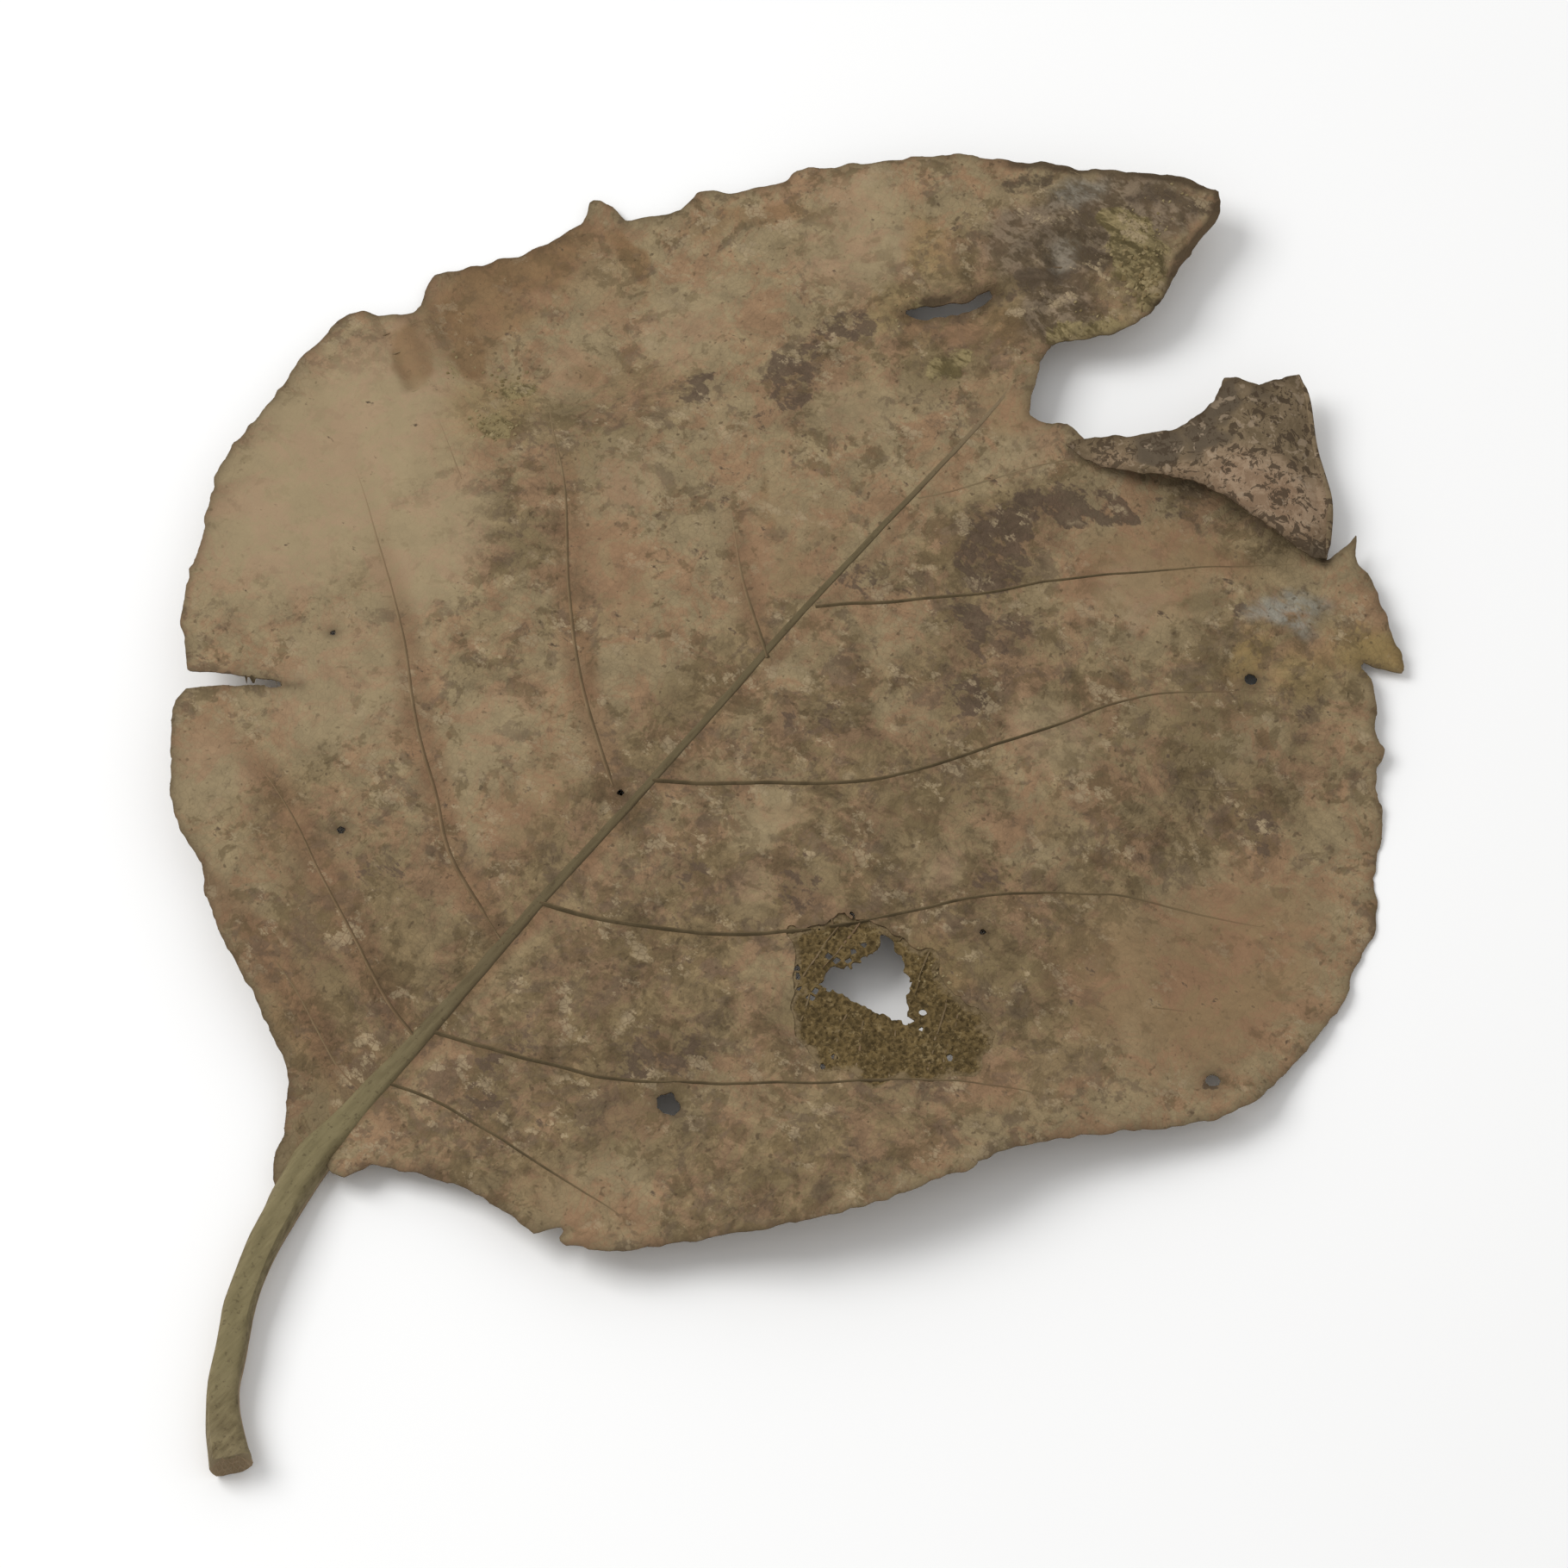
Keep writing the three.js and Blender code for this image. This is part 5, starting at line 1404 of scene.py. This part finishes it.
def blade_material():
    """Upper face of the blade: the ground colours under patches of dark film, flecks and stains."""
    s = Shader("leaf_blade")
    level = film_level(s)
    film = s.step(0.48, 0.62, level) * 0.5 + s.step(0.54, 0.565, level) * 0.5
    quiet = (1 - s.mask("cream") * 0.85) * (1 - s.mask("pink") * 0.5)
    rough = s.noise(5.3, 5, 0.82, swirl=0.4)
    streaks = s.noise(2.2, 3, 0.74, stretch=(1, 0.5, 1), swirl=0.25)
    fringe = streaks * 0.5 + rough * 0.5
    net_line = s.net_line(1.0, 0.01, 0.14)
    film_colour = s.blend(s.step(0.48, 0.57, s.noise(6.3, 4, 0.68, swirl=0.6)), *FILM_TONES)
    crust = s.step(0.50, 0.62, s.mask("crust") * 0.4 + rough * 0.7)
    crust_colour = s.blend(s.step(0.44, 0.56, streaks), *CRUST_TONES)
    tip_colour = s.blend(s.step(0.46, 0.56, streaks), *TIP_TONES)
    clusters = s.step(0.45, 0.56, s.noise(8, 2, 0.6))
    flakes = s.step(0.55, 0.60, s.noise(3.4, 5, 0.72, stretch=(1, 0.7, 1)))
    colour = s.layered(ground_colour(s), [
        (s.mask("yellow"), 0.7, YELLOW_STAIN),
        # Brown colour, partly painted shade in the pleats and creases
        (s.step(0.3, 0.75, s.mask("brown") * 0.75 + rough * 0.25), 0.8, BROWN_AND_CREASE_SHADE),
        (s.step(0.30, 0.85, s.mask("halo") * 0.7 + fringe * 0.45), 0.66, VEIN_HALO),
        (film * quiet, 0.62, film_colour),
        (s.step(0.50, 0.64, s.mask("olive") * 0.2 + fringe * 0.85), 0.45, OLIVE_FILM),
        (s.step(0.72, 0.80, s.mask("purple") * 0.22 + fringe * 1.2), 0.82, PURPLE_FILM),
        (s.step(0.3, 0.75, s.mask("tip") * 0.7 + rough * 0.4), 0.85, tip_colour),
        # Dark patches of the tip, partly painted shadow along its curled edges
        (s.step(0.74, 0.86, s.mask("dark_tip") * 0.26 + fringe * 1.2), 0.8, DARK_TIP),
        (crust, 0.9, crust_colour),
        (s.mask("pale") * s.step(0.3, 0.6, streaks), 0.8, PALE_BLOOM),
        (flakes * clusters * quiet * (1 - net_line * 0.45), 0.72, FLAKE),
    ])
    contrast = (1.2 + s.mask("film") * 0.9) * (0.05 + quiet)
    colour = s.scaled(colour, 1 + (rough - 0.5) * contrast)
    colour = s.scaled(colour, 1 + (streaks - 0.5) * contrast * 0.45)
    # The dark rim of the margin and the holes, with painted shadow beside the curled tip edges, the slit's
    # upper lip and the flap's corner
    rim = (s.mask("rim") + s.mask("painted_edge_shadow")) * s.step(0.2, 0.5, rough)
    colour = s.layered(colour, [
        (s.step(0.66, 0.74, s.noise(1.1, 1.5, 0.6)) * quiet, 0.6, SPECK),
        (s.math("MINIMUM", rim, 0.9), 1, RIM),
        (net_line * quiet, 0.10, NET_LINE),
    ])
    relief = net_line * -0.35 + film * 0.3 + streaks * 0.9 + crust * 0.9
    return s.finish(s.toned(colour), 0.78 + film * 0.1, relief * (quiet + 0.15), 0.1, 0.6)


def vein_material():
    """Side veins from above: dark olive lines in the right half, soft reddish ones in the left half, with
    painted shade on the side of each that faces away from the light.
    """
    s = Shader("leaf_veins")
    tone = s.step(0.35, 0.65, s.noise(4, 4, 0.7))
    sides = []
    # The first colours are the veins' own, on their lit side; the second are painted shade for the side that
    # faces away from the light
    for right_tones, left_tones, cream_strength, cream in (
        (VEIN_TONES, LEFT_VEIN_TONES, 0.7, CREAM_VEIN),
        (VEIN_PAINTED_SHADE_TONES, LEFT_VEIN_PAINTED_SHADE_TONES, 0.8, CREAM_VEIN_PAINTED_SHADE),
    ):
        left = s.layered(s.blend(tone, *left_tones), [(s.mask("cream"), cream_strength, cream)])
        sides.append(s.blend(s.mask("left_half"), s.blend(tone, *right_tones), left))
    colour = s.blend(s.mask("shaded") * 0.9, *sides)
    colour = s.blend(s.mask("faint"), colour, ground_colour(s))
    return s.finish(s.toned(colour), 0.78, s.noise(0.5, 2, 0.6), 0.06, 0.6)


def rung_material():
    """Fine veins from above: close to the blade's own colours, and rubbed pale here and there."""
    s = Shader("leaf_fine_veins")
    colour = s.layered(ground_colour(s), [
        # The same brown, partly painted shade in the pleats and creases, on the fine veins
        (s.mask("brown"), 0.7, RUNG_BROWN_AND_CREASE_SHADE),
        (s.step(0.49, 0.60, film_level(s)), 0.55, RUNG_FILM),
        (s.step(0.54, 0.62, s.noise(4.4, 4, 0.68)) * s.mask("film"), 0.6, RUNG_RUBBED),
        (s.step(0.2, 0.6, s.mask("tip")), 0.8, RUNG_TIP),
        (s.step(0.4, 0.8, s.mask("purple")), 0.7, RUNG_PURPLE),
    ])
    colour = s.blend(0.12, colour, RUNG_SHADE)
    return s.finish(s.toned(colour), 0.78, s.noise(0.5, 2, 0.6), 0.05, 0.6)


def patch_material():
    """The rotted patch: granular olive brown strands over darker skin, with dense dark specks."""
    s = Shader("leaf_skeleton")
    tone = s.step(0.42, 0.58, s.noise(2.4, 5, 0.85))
    colour = s.blend(s.mask("strand"), s.blend(tone, *SKIN_TONES), s.blend(tone, *STRAND_TONES))
    colour = s.layered(colour, [
        (s.step(0.51, 0.58, s.noise(0.75, 3, 0.7)), 0.66, PATCH_SPECK),
        (s.step(0.58, 0.64, s.noise(1.0, 3, 0.7)), 0.6, PATCH_LIGHT),
    ])
    fringe = s.noise(1.6, 4, 0.75) * 0.8 + s.mask("inner") * 0.55
    colour = s.blend(s.step(0.42, 0.62, fringe), s.blend(tone, *PATCH_EDGE_TONES), colour)
    return s.finish(s.toned(colour), 0.85, s.noise(0.5, 3, 0.65), 0.1, 0.7)


def flap_material():
    """The flap, which shows its underside: grey brown, with a pink stretch full of dark specks."""
    s = Shader("leaf_flap")
    rough = s.noise(3.6, 5, 0.8, swirl=0.5)
    clump = s.noise(1.8, 4, 0.74, swirl=0.7)
    tone = s.step(0.42, 0.58, rough)
    colour = s.layered(s.blend(tone, *FLAP_TONES), [
        (s.mask("pink"), 1, s.blend(tone, *FLAP_PINK_TONES)),
        (s.step(0.40, 0.75, s.mask("shade") * 0.6 + rough * 0.5), 0.8, FLAP_SHADE),
        (s.step(0.535, 0.575, clump + s.mask("speckle") * 0.065), 0.82, FLAP_SPECKLE),
        (s.step(0.58, 0.63, s.noise(2.3, 3, 0.7, swirl=0.5)), 0.5, FLAP_LIGHT),
        (s.mask("rim"), 0.6, FLAP_RIM),
    ])
    return s.finish(s.toned(colour), 0.85, clump + rough * 0.8, 0.14, 0.7)


def stalk_material():
    """Woody stalk and midrib: grey brown, greenish grey along the top, pale at the cut, with painted shade on
    the midrib's side away from the light.
    """
    s = Shader("leaf_stalk")
    along = s.noise(0.7, 5, 0.65, stretch=(0.18, 1, 1))
    midrib_strength = 0.72 + s.mask("far") * 0.18
    colour = s.layered(s.blend(s.step(0.3, 0.7, along), *STALK_TONES), [
        (s.step(0.45, 0.7, s.noise(4.5, 5, 0.6)), 0.5, STALK_LIGHT),
        (s.mask("green") * s.step(0.35, 0.9, s.mask("above")), 0.6, STALK_GREEN),
        (s.mask("blade"), midrib_strength, s.blend(s.mask("far"), *MIDRIB_TONES)),
        # Painted shade along the midrib's side away from the light
        (s.step(0.35, 0.8, s.mask("shaded")) * s.mask("blade"), 0.8, MIDRIB_PAINTED_SHADE),
        (s.mask("cut"), 0.8, STALK_CUT),
        (s.step(0.58, 0.66, s.noise(0.8, 4, 0.65)), 0.45, STALK_SPECK),
    ])
    return s.finish(colour, 0.78, along, 0.15, 0.7)


def crumb_material():
    """Crumbs of dried crust: each has its own tone of yellow brown, with darker grains."""
    s = Shader("dried_crust")
    colour = s.layered(s.blend(s.mask("tone"), *CRUMB_TONES), [(s.noise(0.5, 3, 0.6), 0.5, CRUMB_SHADE)])
    return s.finish(colour, 0.85, s.noise(0.3, 2, 0.6), 0.06, 0.6)


def build_leaf():
    """All pieces of the leaf, each with the material of its upper side and that of its lower side."""
    blade = blade_material()
    felt = underside_material("leaf_underside", 1.1, FELT_NET)
    rib_felt = underside_material("leaf_ribs_underside", 0.7, FELT_RIBS)
    flap = flap_material()
    pieces = [
        blade_half("blade_left_half", MIDRIB_Y, LEFT_HALF_WIDTH, [blade, felt]),
        blade_half("blade_right_half", RIGHT_REACH, MIDRIB_Y, [blade, felt]),
        side_veins([vein_material(), rib_felt]),
        ladder_veins([rung_material(), rib_felt]),
        skeleton_patch([patch_material(), felt]),
        stalk_and_midrib([stalk_material(), rib_felt]),
        crust_crumbs([crumb_material()]),
        folded_flap([flap, blade]),
        fold_roll([flap]),
    ]
    for piece in pieces:
        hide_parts(NODE)


# Camera and studio, in metres
CAMERA_PLACE = (-0.30427, -0.32862, 0.86603)
CAMERA_AIM = (0.0867, -0.0147, 0.003)
SENSOR_WIDTH = 36
LENS = 161
FARTHEST_SEEN = 20
FLOOR_REACH = 4.0
FLOOR_TONES = ((0.93, 0.93, 0.925), (0.9207, 0.9207, 0.91575))
SKY_COLOUR = (1, 1, 1, 1)
SKY_STRENGTH = 0.65
KEY_PLACE = (-0.25, 0.75, 0.95)
KEY_SIZE = 0.75
KEY_POWER = 10


def aimed_object(name, data, place):
    """A camera or a light at a place, turned to the leaf."""
    thing = bpy.data.objects.new(name, data)
    thing.location = place
    right, ahead, up = [goal - start for goal, start in zip(CAMERA_AIM, place)]
    thing.rotation_euler = (math.atan2(math.hypot(right, ahead), -up), 0, math.atan2(-right, ahead))
    bpy.context.scene.collection.objects.link(thing)
    return thing


def add_camera():
    data = bpy.data.cameras.new("camera")
    data.sensor_width = SENSOR_WIDTH
    data.lens = LENS
    data.clip_end = FARTHEST_SEEN
    bpy.context.scene.camera = aimed_object("camera", data, CAMERA_PLACE)


def add_lights():
    key = bpy.data.lights.new("key_light", "AREA")
    key.size = KEY_SIZE
    key.energy = KEY_POWER
    aimed_object("key_light", key, KEY_PLACE)
    world = bpy.data.worlds.new("studio")
    world.use_nodes = True
    sky = world.node_tree.nodes["Background"]
    sky.inputs["Color"].default_value = SKY_COLOUR
    sky.inputs["Strength"].default_value = SKY_STRENGTH
    bpy.context.scene.world = world
    bpy.context.scene.view_settings.view_transform = "Standard"


def add_floor():
    mesh = bpy.data.meshes.new("floor")
    reach = FLOOR_REACH
    corners = [(-reach, -reach, 0), (reach, -reach, 0), (reach, reach, 0), (-reach, reach, 0)]
    mesh.from_pydata(corners, [], [(0, 1, 2, 3)])
    s = Shader("floor_paper")
    mesh.materials.append(s.finish(s.blend(s.noise(60), *FLOOR_TONES), 0.9, s.noise(1), 0.01, 0.1))
    floor = bpy.data.objects.new("floor", mesh)
    bpy.context.scene.collection.objects.link(floor)


add_camera()
add_lights()
add_floor()
build_leaf()
bpy.context.view_layer.update()
